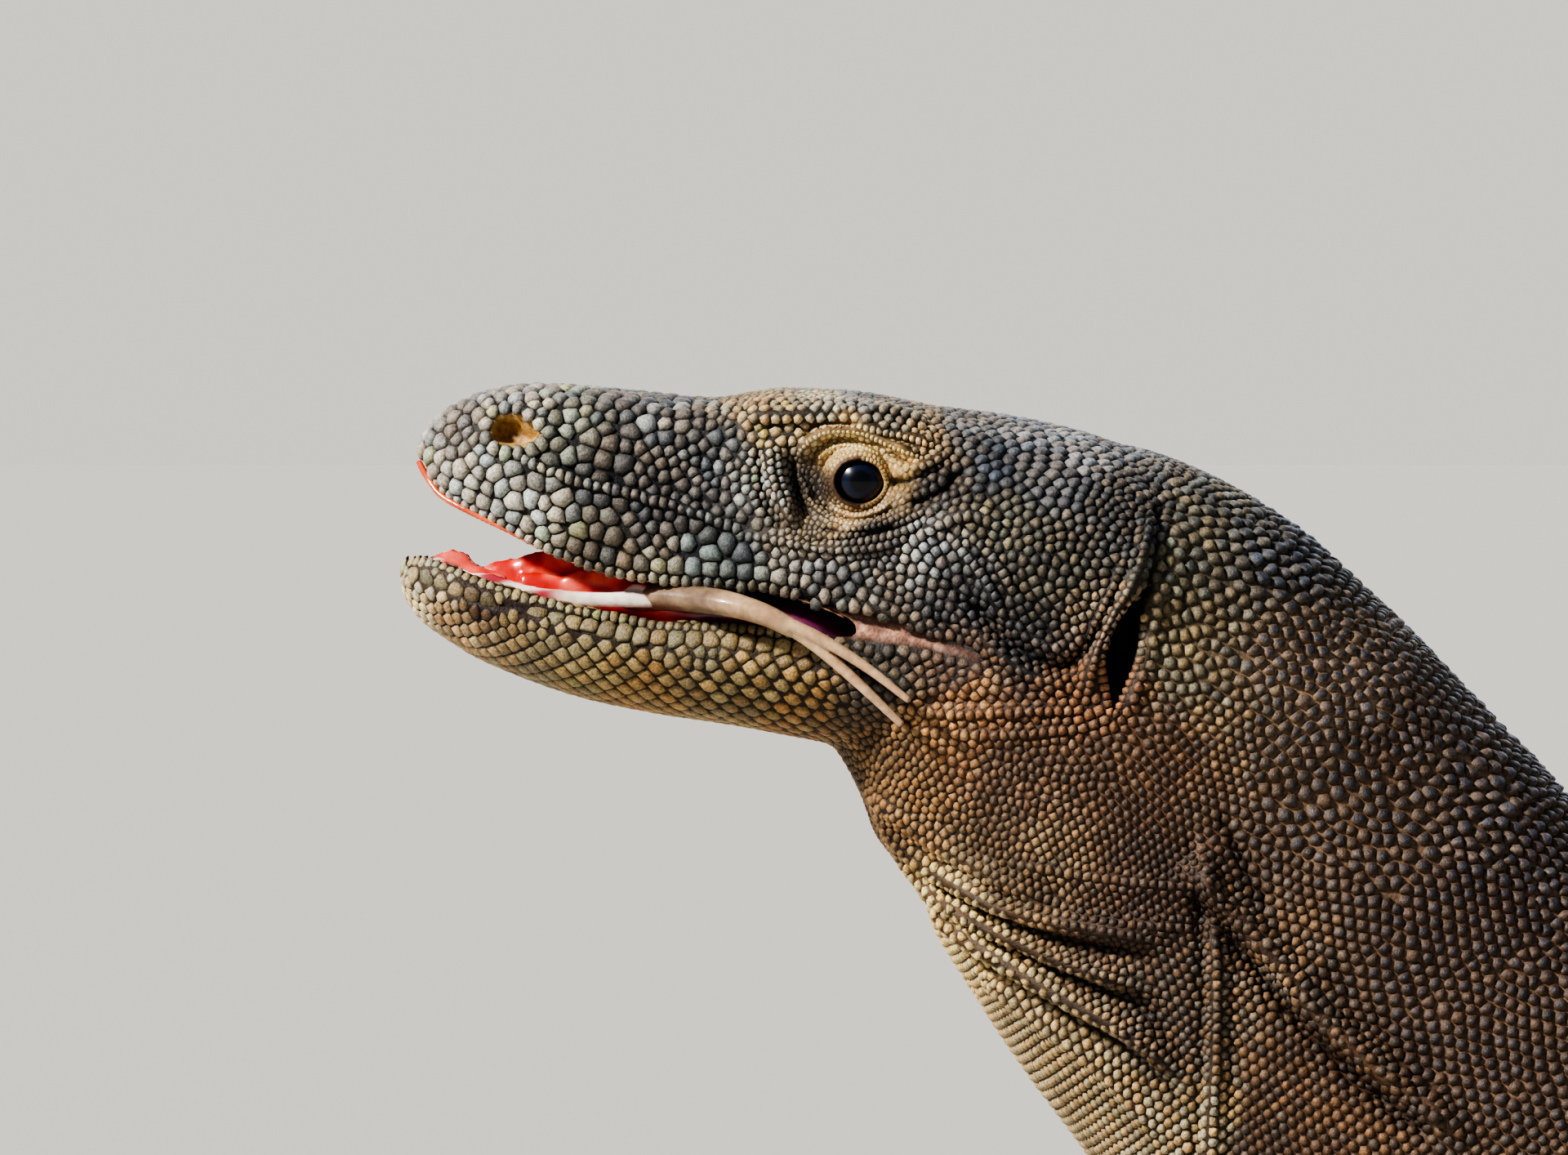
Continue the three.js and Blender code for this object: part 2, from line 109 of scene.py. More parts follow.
# x, y, z, half width, half depth across the path
BODY = [
    [0, 134, 494, 40, 46],
    [0, 156, 482, 51, 62],
    [0, 184, 463, 57, 71],
    [0, 205, 440, 60, 76],
    [0, 226, 414, 63, 79],
    [0, 247, 389, 67, 81],
    [0, 276, 353, 74, 85],
    [0, 312, 313, 84, 91],
    [2, 362, 277, 96, 98],
    [6, 430, 250, 106, 103],
    [10, 520, 237, 113, 104],
    [12, 640, 231, 121, 105],
    [8, 760, 226, 121, 101],
    [0, 860, 219, 108, 92],
    [-8, 950, 209, 88, 80],
    [-10, 1030, 195, 66, 68],
    [-6, 1120, 170, 50, 56],
    [6, 1220, 132, 42, 48],
    [26, 1320, 93, 36, 42],
    [50, 1420, 59, 31, 38],
    [72, 1520, 37, 27, 33],
    [86, 1640, 28, 23, 29],
    [80, 1780, 23, 18, 24],
    [52, 1920, 17, 13.5, 18],
    [6, 2050, 12, 9.5, 13],
    [-44, 2150, 7.5, 6, 8.5],
    [-84, 2230, 4, 3, 5],
]
BODY_SQUARENESS = 2.3
HEAD_ENDS = 2.7  # rows of BODY where the skin's three grains meet
NECK_ENDS = 7.4

FORELEG = SimpleNamespace(
    name="fore", shoulder=(62, 412, 232), elbow=(158, 478, 142), wrist=(166, 432, 34),
    upper=(54, 47, 38, 33), lower=(25, 36, 28, 20), heading=14,
    palm=SimpleNamespace(length=52, width=25, height=13),
    angles=(-40, -18, 3, 24, 56), reach=(50, 64, 68, 62, 48), thick=8.2, claw=22, right_shift=46,
)
HINDLEG = SimpleNamespace(
    name="hind", shoulder=(44, 946, 190), elbow=(168, 868, 146), wrist=(176, 968, 42),
    upper=(62, 56, 47, 38), lower=(29, 40, 30, 21), heading=18,
    palm=SimpleNamespace(length=74, width=27, height=14),
    angles=(-34, -15, 1, 17, 62), reach=(56, 76, 92, 98, 58), thick=8.6, claw=24, right_shift=-52,
)
TOE_TIP_HEIGHT = 5.2
CLAW_DROP = 6
# share of the reach, height, width and thickness: two knuckles swell between the joints
TOE_SHAPE = (
    (0.05, 8, 1, 1), (0.3, 9.5, 1, 1.05), (0.6, 8, 0.98, 1), (0.82, 6.3, 0.88, 0.85),
    (1, TOE_TIP_HEIGHT, 0.62, 0.66),
)
# share of the claw's length, rise over the toe's tip, and size
CLAW_SHAPE = (
    (0, 1.3, 0.95), (0.3, 2.0, 1), (0.62, 0.6, 0.72), (0.86, 0.4 - CLAW_DROP / 2, 0.42),
    (1, -0.72 * CLAW_DROP, 0.1),
)

# x, y, z over the eye, half width, half height
TONGUE_STEM = [
    [4, 46, -36, 7, 3.2], [10, 54, -34, 7, 3.4], [17, 61, -31.8, 6.4, 3.6], [24, 68.5, -31, 6, 3.8],
    [31, 76, -31.6, 5.4, 3.7], [39.5, 84, -32.6, 4.8, 3.4], [43.5, 93, -35.2, 4.2, 3.0],
    [45, 101, -39, 3.6, 2.6],
]
TONGUE_INNER = [
    [45, 99, -38, 2.2, 2.0], [47, 108, -44.5, 1.9, 1.7], [50, 119, -54, 1.6, 1.5], [52, 130, -64.5, 1.2, 1.1],
]
TONGUE_OUTER = [
    [45.5, 99, -37.5, 2.2, 2.0], [49.5, 109, -42, 1.9, 1.7], [54, 121, -49.5, 1.5, 1.4],
    [58, 132, -58, 1.1, 1.0],
]


# ---------------------------------------------------------------- number work
def catmull(a, b, c, d, t):
    """A Catmull-Rom curve's point at t between b and c."""
    return 0.5 * (2 * b + (c - a) * t + (2 * a - 5 * b + 4 * c - d) * t**2 + (3 * b - a - 3 * c + d) * t**3)


def hill(away, width):
    """1 where away is 0, falling smoothly to nothing over a few widths."""
    return np.exp(-((away / width) ** 2))


def lengths_along(line):
    """The length along a line of points up to each of them."""
    return np.concatenate([[0], np.cumsum(np.linalg.norm(np.diff(line, axis=0), axis=1))])


def read_along(line, lengths, wanted):
    """The points of a line at wanted lengths along it."""
    return np.column_stack([np.interp(wanted, lengths, column) for column in line.T])


def spaced(line, pitch, first=None):
    """Points every pitch along a line, the first of them at half a pitch or at a length of its own."""
    lengths = lengths_along(line)
    return read_along(line, lengths, np.arange(0.5 * pitch if first is None else first, lengths[-1], pitch))


def both_sides(left):
    return np.vstack([left, left * (-1, 1, 1)])


def column_at(table, column, y):
    """A column of a table of the head at places y, straight between its rows."""
    rows = np.asarray(table, float)
    return np.interp(y, rows[:, 0], rows[:, column])


def smooth(rows, place):
    """The columns of a table at places between its rows."""
    rows = np.asarray(rows, float)
    ends = np.vstack([2 * rows[:1] - rows[1:2], rows, 2 * rows[-1:] - rows[-2:-1]])
    place = np.clip(np.atleast_1d(place).astype(float), 0, len(rows) - 1)
    k = np.minimum(place.astype(int), len(rows) - 2)
    return catmull(ends[k], ends[k + 1], ends[k + 2], ends[k + 3], (place - k)[:, None])


def closed(points, count):
    """count points along the closed curve through points, an array of (rings, corners, 3)."""
    corners = points.shape[1]
    t = np.arange(count) * corners / count
    k = t.astype(int)
    picked = [points[:, (k + i) % corners] for i in (-1, 0, 1, 2)]
    return catmull(*picked, (t - k)[None, :, None])


def unit(vectors):
    return vectors / np.maximum(np.linalg.norm(vectors, axis=-1, keepdims=True), 1e-9)


def step(low, high, values):
    """0 below low, 1 above high and smooth between."""
    t = np.clip((values - low) / (high - low), 0, 1)
    return t * t * (3 - 2 * t)


def mix(a, b, share):
    """Between a and b, which are colours or one number each, by an array of shares."""
    share = np.asarray(share, float)
    coloured = np.shape(a)[-1:] == (3,) or np.shape(b)[-1:] == (3,)
    return a + (b - a) * (share[..., None] if coloured else share)


HASH_PRIMES = np.array([73856093, 19349663, 83492791])
HASH_FACTOR = 1274126177


def noise(points, size, seed=0):
    """Smooth noise from 0 to 1 over points, with lumps of about that size."""
    p = np.asarray(points, float) / size + 100 * seed + 1000
    cell = np.floor(p).astype(np.int64)
    t = p - cell
    t = t * t * (3 - 2 * t)
    total = np.zeros(len(p))
    for corner in np.ndindex(2, 2, 2):
        q = (cell + corner) * HASH_PRIMES
        mixed = q[:, 0] ^ q[:, 1] ^ q[:, 2]
        mixed = (mixed ^ (mixed >> 13)) * HASH_FACTOR
        value = ((mixed ^ (mixed >> 16)) & 0xFFFF) / 0xFFFF
        total += value * np.prod(np.where(corner, t, 1 - t), axis=1)
    return total


def linear(colour):
    """A linear colour from one in sRGB out of 255."""
    c = np.asarray(colour, float) / 255
    return np.where(c <= 0.04045, c / 12.92, ((c + 0.055) / 1.055) ** 2.4)


def blocks(count, size=20000):
    """Slices that cover count rows, so that big tables are worked out part by part."""
    return [slice(start, start + size) for start in range(0, count, size)]


# ---------------------------------------------------------------- lofts
class Tube:
    """A loft along rows of x, y, z, half width and half height."""

    def __init__(self, rows, across=None, squareness=2.0):
        self.rows = np.asarray(rows, float)
        self.across = across
        self.squareness = squareness
        self.last = len(rows) - 1
        self.places = np.linspace(0, self.last, 40 * self.last + 1)
        self.lengths = lengths_along(smooth(self.rows, self.places)[:, :3])

    def frames(self, place):
        at = smooth(self.rows, place)
        before = smooth(self.rows, np.maximum(np.atleast_1d(place) - 0.05, 0))
        after = smooth(self.rows, np.minimum(np.atleast_1d(place) + 0.05, self.last))
        along = unit(after[:, :3] - before[:, :3])
        if self.across is None:
            side = unit(np.cross(along, (0, 0, 1)))
        else:
            across = np.asarray(self.across, float)
            side = unit(across - along * (along @ across)[:, None])
        return at[:, :3], along, side, np.cross(side, along), at[:, 3], at[:, 4]

    def ring(self, place, turns):
        """Points at each place (rings) and each turn (round the ring)."""
        middle, _, side, up, width, height = self.frames(place)
        power = 2 / self.squareness
        wide = np.sign(np.cos(turns)) * np.abs(np.cos(turns)) ** power
        high = np.sign(np.sin(turns)) * np.abs(np.sin(turns)) ** power
        points = (
            middle[:, None]
            + side[:, None] * (width[:, None] * wide)[..., None]
            + up[:, None] * (height[:, None] * high)[..., None]
        )
        points[..., 2] = np.maximum(points[..., 2], 0)
        return points

    def shell(self, grain, sides, start=0, end=None):
        """A closed shell of rings about grain millimetres apart."""
        end = self.last if end is None else end
        length = np.interp(end, self.places, self.lengths) - np.interp(start, self.places, self.lengths)
        place = np.linspace(start, end, max(int(length / grain), 6))
        return loft(self.ring(place, np.linspace(0, 2 * np.pi, sides, endpoint=False)))

    def at_length(self, length):
        return np.interp(length, self.lengths, self.places)

    def where(self, points):
        """Each point's length along the tube, its turn round it and the tube's direction there."""
        samples = self.places[::4]
        middles = smooth(self.rows, samples)[:, :3]
        best = np.empty(len(points), int)
        for block in blocks(len(points)):
            part = points[block]
            gaps = (part**2).sum(1)[:, None] - 2 * part @ middles.T + (middles**2).sum(1)
            best[block] = gaps.argmin(1)
        middle, along, side, up, width, height = self.frames(samples)
        offset = points - middle[best]
        place = samples[best]
        length = np.interp(place, self.places, self.lengths) + (offset * along[best]).sum(1)
        high, wide = (offset * up[best]).sum(1) / height[best], (offset * side[best]).sum(1) / width[best]
        return length, np.arctan2(high, wide), along[best]


def loft(rings):
    """Vertices and quads of a closed shell through rings of shape (rings, corners, 3)."""
    count, sides, _ = rings.shape
    a = np.arange(count - 1)[:, None] * sides + np.arange(sides)
    b = np.arange(count - 1)[:, None] * sides + (np.arange(sides) + 1) % sides
    quads = np.stack([a, b, b + sides, a + sides], -1).reshape(-1, 4)
    caps = []
    for first, centre in ((0, count * sides), ((count - 1) * sides, count * sides + 1)):
        edge = np.arange(sides)
        ahead = first + (edge + 1) % sides
        caps.append(np.stack([first + edge, ahead, np.full(sides, centre)], -1))
    caps[0] = caps[0][:, ::-1]
    vertices = np.vstack([rings.reshape(-1, 3), rings[0].mean(0), rings[-1].mean(0)])
    return vertices, quads.tolist() + caps[0].tolist() + caps[1].tolist()


def lip_thickness(lip_x):
    return np.minimum(LIP_THICKNESS, 0.4 * lip_x)


def closed_outline(y, points):
    """Closed outlines from x and z of the left half, whose first and last points are in the middle."""
    left = np.stack([np.stack([x + 0 * y, y, z + EYE.z], -1) for x, z in points], 1)
    return np.concatenate([left, left[:, -2:0:-1] * (-1, 1, 1)], axis=1)


def upper_head_outline(rows):
    y, top, ridge_x, ridge_z, side_x, side_z, lip_x, lip_z, roof_z = rows.T
    lip = lip_thickness(lip_x)
    upper = [(0, top), (ridge_x, ridge_z), (side_x, side_z)]
    return closed_outline(y, [*upper, (lip_x, lip_z + lip / 2), (lip_x - lip, lip_z), (0, roof_z)])


def lower_jaw_outline(rows):
    y, floor_z, lip_x, lip_z, outer_x, outer_z, keel_x, keel_z, bottom_z = rows.T
    lip = lip_thickness(lip_x)
    upper = [(0, floor_z), (lip_x - lip, lip_z), (lip_x, lip_z - lip / 2)]
    return closed_outline(y, [*upper, (outer_x, outer_z), (keel_x, keel_z), (0, bottom_z)])


def head_shell(table, outline, grain):
    places = np.linspace(0, len(table) - 1, int((table[-1][0] - table[0][0]) / grain) + 12)
    return loft(closed(outline(smooth(table, places)), HEAD_SIDES))


body = Tube(BODY, squareness=BODY_SQUARENESS)


def limb_length(start, end, radii, flatness):
    """A limb's length with rounded ends past both joints, as a tube."""
    along = unit(end - start)
    reach = np.linalg.norm(end - start)
    first, last = radii[0], radii[-1]
    # shares of the end's radius: distance past the joint, and radius there
    rounding = ((0.5, 0.82), (0.85, 0.35))
    marks = [(-out * first, size * first) for out, size in reversed(rounding)]
    marks += [(reach * i / (len(radii) - 1), radius) for i, radius in enumerate(radii)]
    marks += [(reach + out * last, size * last) for out, size in rounding]
    rows = [[*(start + along * distance), radius, radius * flatness] for distance, radius in marks]
    return Tube(rows, across=unit(np.array([0, 1, 0.15])))


def leg(limb, side):
    """The tubes of one leg: upper, lower, palm, toes and claws. The right leg is the left one, mirrored and
    shifted."""
    shift = 0 if side > 0 else limb.right_shift

    def joint(place, share):
        return np.array([side * place[0], place[1] + share * shift, place[2]], float)

    shoulder, elbow, wrist = joint(limb.shoulder, 0), joint(limb.elbow, 0.45), joint(limb.wrist, 1)
    heading = math.radians(limb.heading) * side

    def direction(turn):
        return np.array([math.sin(turn), -math.cos(turn), 0])

    forward = direction(heading)
    outward = np.array([-forward[1], forward[0], 0])

    def along(distance, z):
        return [*(wrist + forward * distance)[:2], z]

    length, width, height = limb.palm.length, limb.palm.width, limb.palm.height
    # distance along the palm, height over the floor, and shares of its width and height
    palm_rows = (
        (-22, 13, 0.5, 0.85), (-10, 15, 0.82, 1.25), (0.3 * length, 11.5, 1, 1.05),
        (0.7 * length, 7.5, 1.05, 0.75), (length, 4.5, 0.7, 0.45),
    )
    palm = Tube([[*along(distance, z), wide * width, high * height] for distance, z, wide, high in palm_rows])
    toes, claws = [], []
    for angle, reach in zip(limb.angles, limb.reach):
        toward = direction(heading + side * math.radians(angle))
        spread = math.sin(math.radians(angle))
        root = np.array(along(0.62 * length - 16 * abs(spread), 0)) + outward * side * 0.5 * width * spread
        thick = limb.thick
        toes.append(Tube([
            [*(root + toward * s * reach)[:2], z, w * thick, h * thick] for s, z, w, h in TOE_SHAPE
        ]))
        tip = root + toward * (reach - 2)
        claws.append(Tube([
            [
                *(tip + toward * s * (limb.claw + 3))[:2],
                TOE_TIP_HEIGHT + up, 0.4 * thick * size, 0.55 * thick * size,
            ]
            for s, up, size in CLAW_SHAPE
        ]))
    return SimpleNamespace(
        name=f"{limb.name}_{'left' if side > 0 else 'right'}",
        upper=limb_length(shoulder, elbow, limb.upper, 0.82),
        lower=limb_length(elbow, wrist, limb.lower, 0.9),
        palm=palm, toes=toes, claws=claws,
    )


legs = [leg(limb, side) for limb in (FORELEG, HINDLEG) for side in (1, -1)]


# ---------------------------------------------------------------- meshes
def new_mesh(name, vertices, faces):
    mesh = bpy.data.meshes.new(name)
    mesh.from_pydata(np.asarray(vertices).tolist(), [], faces)
    mesh.update()
    return mesh


def new_object(name, mesh):
    made = bpy.data.objects.new(name, mesh)
    bpy.context.scene.collection.objects.link(made)
    return made


def triangle_mesh(name, vertices, triangles, colours=None, uvs=None):
    """A smooth-shaded mesh in the frame from arrays, with a colour for each vertex and a place in OFBake."""
    mesh = bpy.data.meshes.new(name)
    mesh.vertices.add(len(vertices))
    mesh.vertices.foreach_set("co", in_frame(vertices).astype(np.float32).ravel())
    mesh.loops.add(triangles.size)
    mesh.loops.foreach_set("vertex_index", triangles.astype(np.int32).ravel())
    mesh.polygons.add(len(triangles))
    mesh.polygons.foreach_set("loop_start", np.arange(0, triangles.size, 3, dtype=np.int32))
    mesh.update(calc_edges=True)
    mesh.polygons.foreach_set("use_smooth", np.ones(len(triangles), bool))
    if colours is not None:
        layer = mesh.color_attributes.new("Hide", "FLOAT_COLOR", "POINT")
        opaque = np.column_stack([colours, np.ones(len(colours))])
        layer.data.foreach_set("color", opaque.astype(np.float32).ravel())
    if uvs is not None:
        layer = mesh.uv_layers.new(name="OFBake")
        corners = uvs if len(uvs) == triangles.size else uvs[triangles.ravel()]
        layer.data.foreach_set("uv", corners.astype(np.float32).ravel())
    return mesh


def arrays_of(mesh):
    vertices = np.empty(3 * len(mesh.vertices), np.float32)
    mesh.vertices.foreach_get("co", vertices)
    mesh.calc_loop_triangles()
    triangles = np.empty(3 * len(mesh.loop_triangles), np.int32)
    mesh.loop_triangles.foreach_get("vertices", triangles)
    return vertices.reshape(-1, 3).astype(float), triangles.reshape(-1, 3)


def melted(shells, grain):
    """One mesh around overlapping shells, remade of voxels of that grain."""
    vertices, faces, first = [], [], 0
    for points, quads in shells:
        vertices.append(points)
        faces += [[first + k for k in face] for face in quads]
        first += len(points)
    made = new_object("melt", new_mesh("melt", np.vstack(vertices), faces))
    remesh = made.modifiers.new("remesh", "REMESH")
    remesh.mode = "VOXEL"
    remesh.voxel_size = grain
    done = bpy.data.meshes.new_from_object(made.evaluated_get(bpy.context.evaluated_depsgraph_get()))
    bpy.data.meshes.remove(made.data)
    return done


def vertex_normals(vertices, triangles):
    a, b, c = (vertices[triangles[:, k]] for k in range(3))
    face = np.cross(b - a, c - a)
    total = np.zeros_like(vertices)
    for k in range(3):
        for axis in range(3):
            total[:, axis] += np.bincount(triangles[:, k], face[:, axis], len(vertices))
    return unit(total)


def edges_of(triangles):
    pairs = np.sort(np.vstack([triangles[:, [0, 1]], triangles[:, [1, 2]], triangles[:, [2, 0]]]), axis=1)
    return np.unique(pairs, axis=0)


def relaxed(values, edges, times, share=0.5, weight=1.0):
    """Values at vertices, each moved towards its neighbours' mean that many times."""
    count = len(values)
    ends = np.concatenate([edges[:, 0], edges[:, 1]])
    others = np.concatenate([edges[:, 1], edges[:, 0]])
    around = np.maximum(np.bincount(ends, minlength=count), 1)
    for _ in range(times):
        mean = np.stack([np.bincount(ends, column[others], count) / around for column in values.T], 1)
        values = values + share * np.broadcast_to(weight, count)[:, None] * (mean - values)
    return values


# ---------------------------------------------------------------- one skin
GRAIN = SimpleNamespace(head=1.4, neck=2.2, body=4.6, foot=2.3)
SHIN_JOIN = 0.6  # share of the lower leg where the foot's grain starts
# places where edges are halved for small features, in turn: y, z over the eye, and radius
FINE = [(117, 2, 27), (119, 0, 11), (26, 14, 12), (26, 14, 9), (189, -44, 20), (188, -44, 17)]
JOIN_GAP = 0.8  # half the gap in mm that a bridge closes
FINE_STARTS = 10  # mm from the middle line where they start
FLESH_OVERLAP = 0.6  # rows of BODY by which melted lengths overlap before they are cut


def cross_section(tube, place):
    """The middle of a tube at a place and its direction there."""
    return [Vector(value[0]) for value in tube.frames(place)[:2]]


def cut(bm, tube, place, keep_start, reach=math.inf):
    """Cuts a bmesh across a tube and keeps one side, short of the place. Only what is within reach is cut."""
    middle, along = cross_section(tube, place)
    gap = JOIN_GAP if keep_start else -JOIN_GAP
    near = {vert for vert in bm.verts if (vert.co - middle).length < reach}
    parts = [part for kind in (bm.edges, bm.faces) for part in kind if near.issuperset(part.verts)]
    bmesh.ops.bisect_plane(
        bm, geom=[*near, *parts], dist=1e-4, plane_co=middle - along * gap, plane_no=along,
        clear_outer=keep_start, clear_inner=not keep_start,
    )


def bridge(bm, tube, place, reach=math.inf):
    """Joins the two open loops across a tube."""
    middle, along = cross_section(tube, place)
    loops = []
    for edge in (edge for edge in bm.edges if edge.is_boundary):
        away = edge.verts[0].co - middle
        if abs(away.dot(along)) < 2 and away.length < reach:
            loops.append(edge)
    bmesh.ops.bridge_loops(bm, edges=loops)


def skin_shape():
    """The vertices and triangles of the whole flesh in one skin, in millimetres."""
    head = melted([
        head_shell(UPPER_HEAD, upper_head_outline, 1.5),
        head_shell(LOWER_JAW, lower_jaw_outline, 1.5),
        body.shell(2, 160, 0, HEAD_ENDS + FLESH_OVERLAP),
    ], GRAIN.head)
    neck = melted([body.shell(3, 160, HEAD_ENDS - FLESH_OVERLAP, NECK_ENDS + FLESH_OVERLAP)], GRAIN.neck)
    limbs = [tube.shell(4, 48) for one in legs for tube in (one.upper, one.lower)]
    rear = melted([body.shell(8, 120, NECK_ENDS - FLESH_OVERLAP), *limbs], GRAIN.body)
    joins = [(body, HEAD_ENDS, math.inf), (body, NECK_ENDS, math.inf)]
    parts = [
        (head, [(*joins[0], True)]),
        (neck, [(*joins[0], False), (*joins[1], True)]),
        (rear, [(*joins[1], False)]),
    ]
    for one in legs:
        shin = one.lower
        place = shin.at_length(SHIN_JOIN * shin.lengths[-1])
        joins.append((shin, place, 90))
        shells = [shin.shell(2, 64, shin.at_length(0.4 * shin.lengths[-1])), one.palm.shell(2, 64)]
        foot = melted([*shells, *(toe.shell(1.5, 40) for toe in one.toes)], GRAIN.foot)
        parts[2][1].append((*joins[-1], True))
        parts.append((foot, [(*joins[-1], False)]))
    whole = bmesh.new()
    for mesh, cuts in parts:
        part = bmesh.new()
        part.from_mesh(mesh)
        for tube, place, reach, keep_start in cuts:
            cut(part, tube, place, keep_start, reach)
        part.to_mesh(mesh)
        part.free()
        whole.from_mesh(mesh)
        bpy.data.meshes.remove(mesh)
    for join in joins:
        bridge(whole, *join)
    bmesh.ops.triangulate(whole, faces=whole.faces[:])
    for y, z, radius in FINE:
        inside = {
            v for v in whole.verts
            if math.hypot(v.co.y - y, v.co.z - EYE.z - z) < radius and abs(v.co.x) > FINE_STARTS
        }
        near = [edge for edge in whole.edges if inside.issuperset(edge.verts)]
        bmesh.ops.subdivide_edges(whole, edges=near, cuts=1)
        bmesh.ops.triangulate(whole, faces=[face for face in whole.faces if len(face.verts) > 3])
    bmesh.ops.recalc_face_normals(whole, faces=whole.faces[:])
    mesh = bpy.data.meshes.new("shape")
    whole.to_mesh(mesh)
    whole.free()
    vertices, triangles = arrays_of(mesh)
    bpy.data.meshes.remove(mesh)
    a, b, c = (vertices[triangles[:, k]] for k in range(3))
    if (a * np.cross(b, c)).sum() < 0:
        triangles = triangles[:, ::-1].copy()
    return vertices, triangles


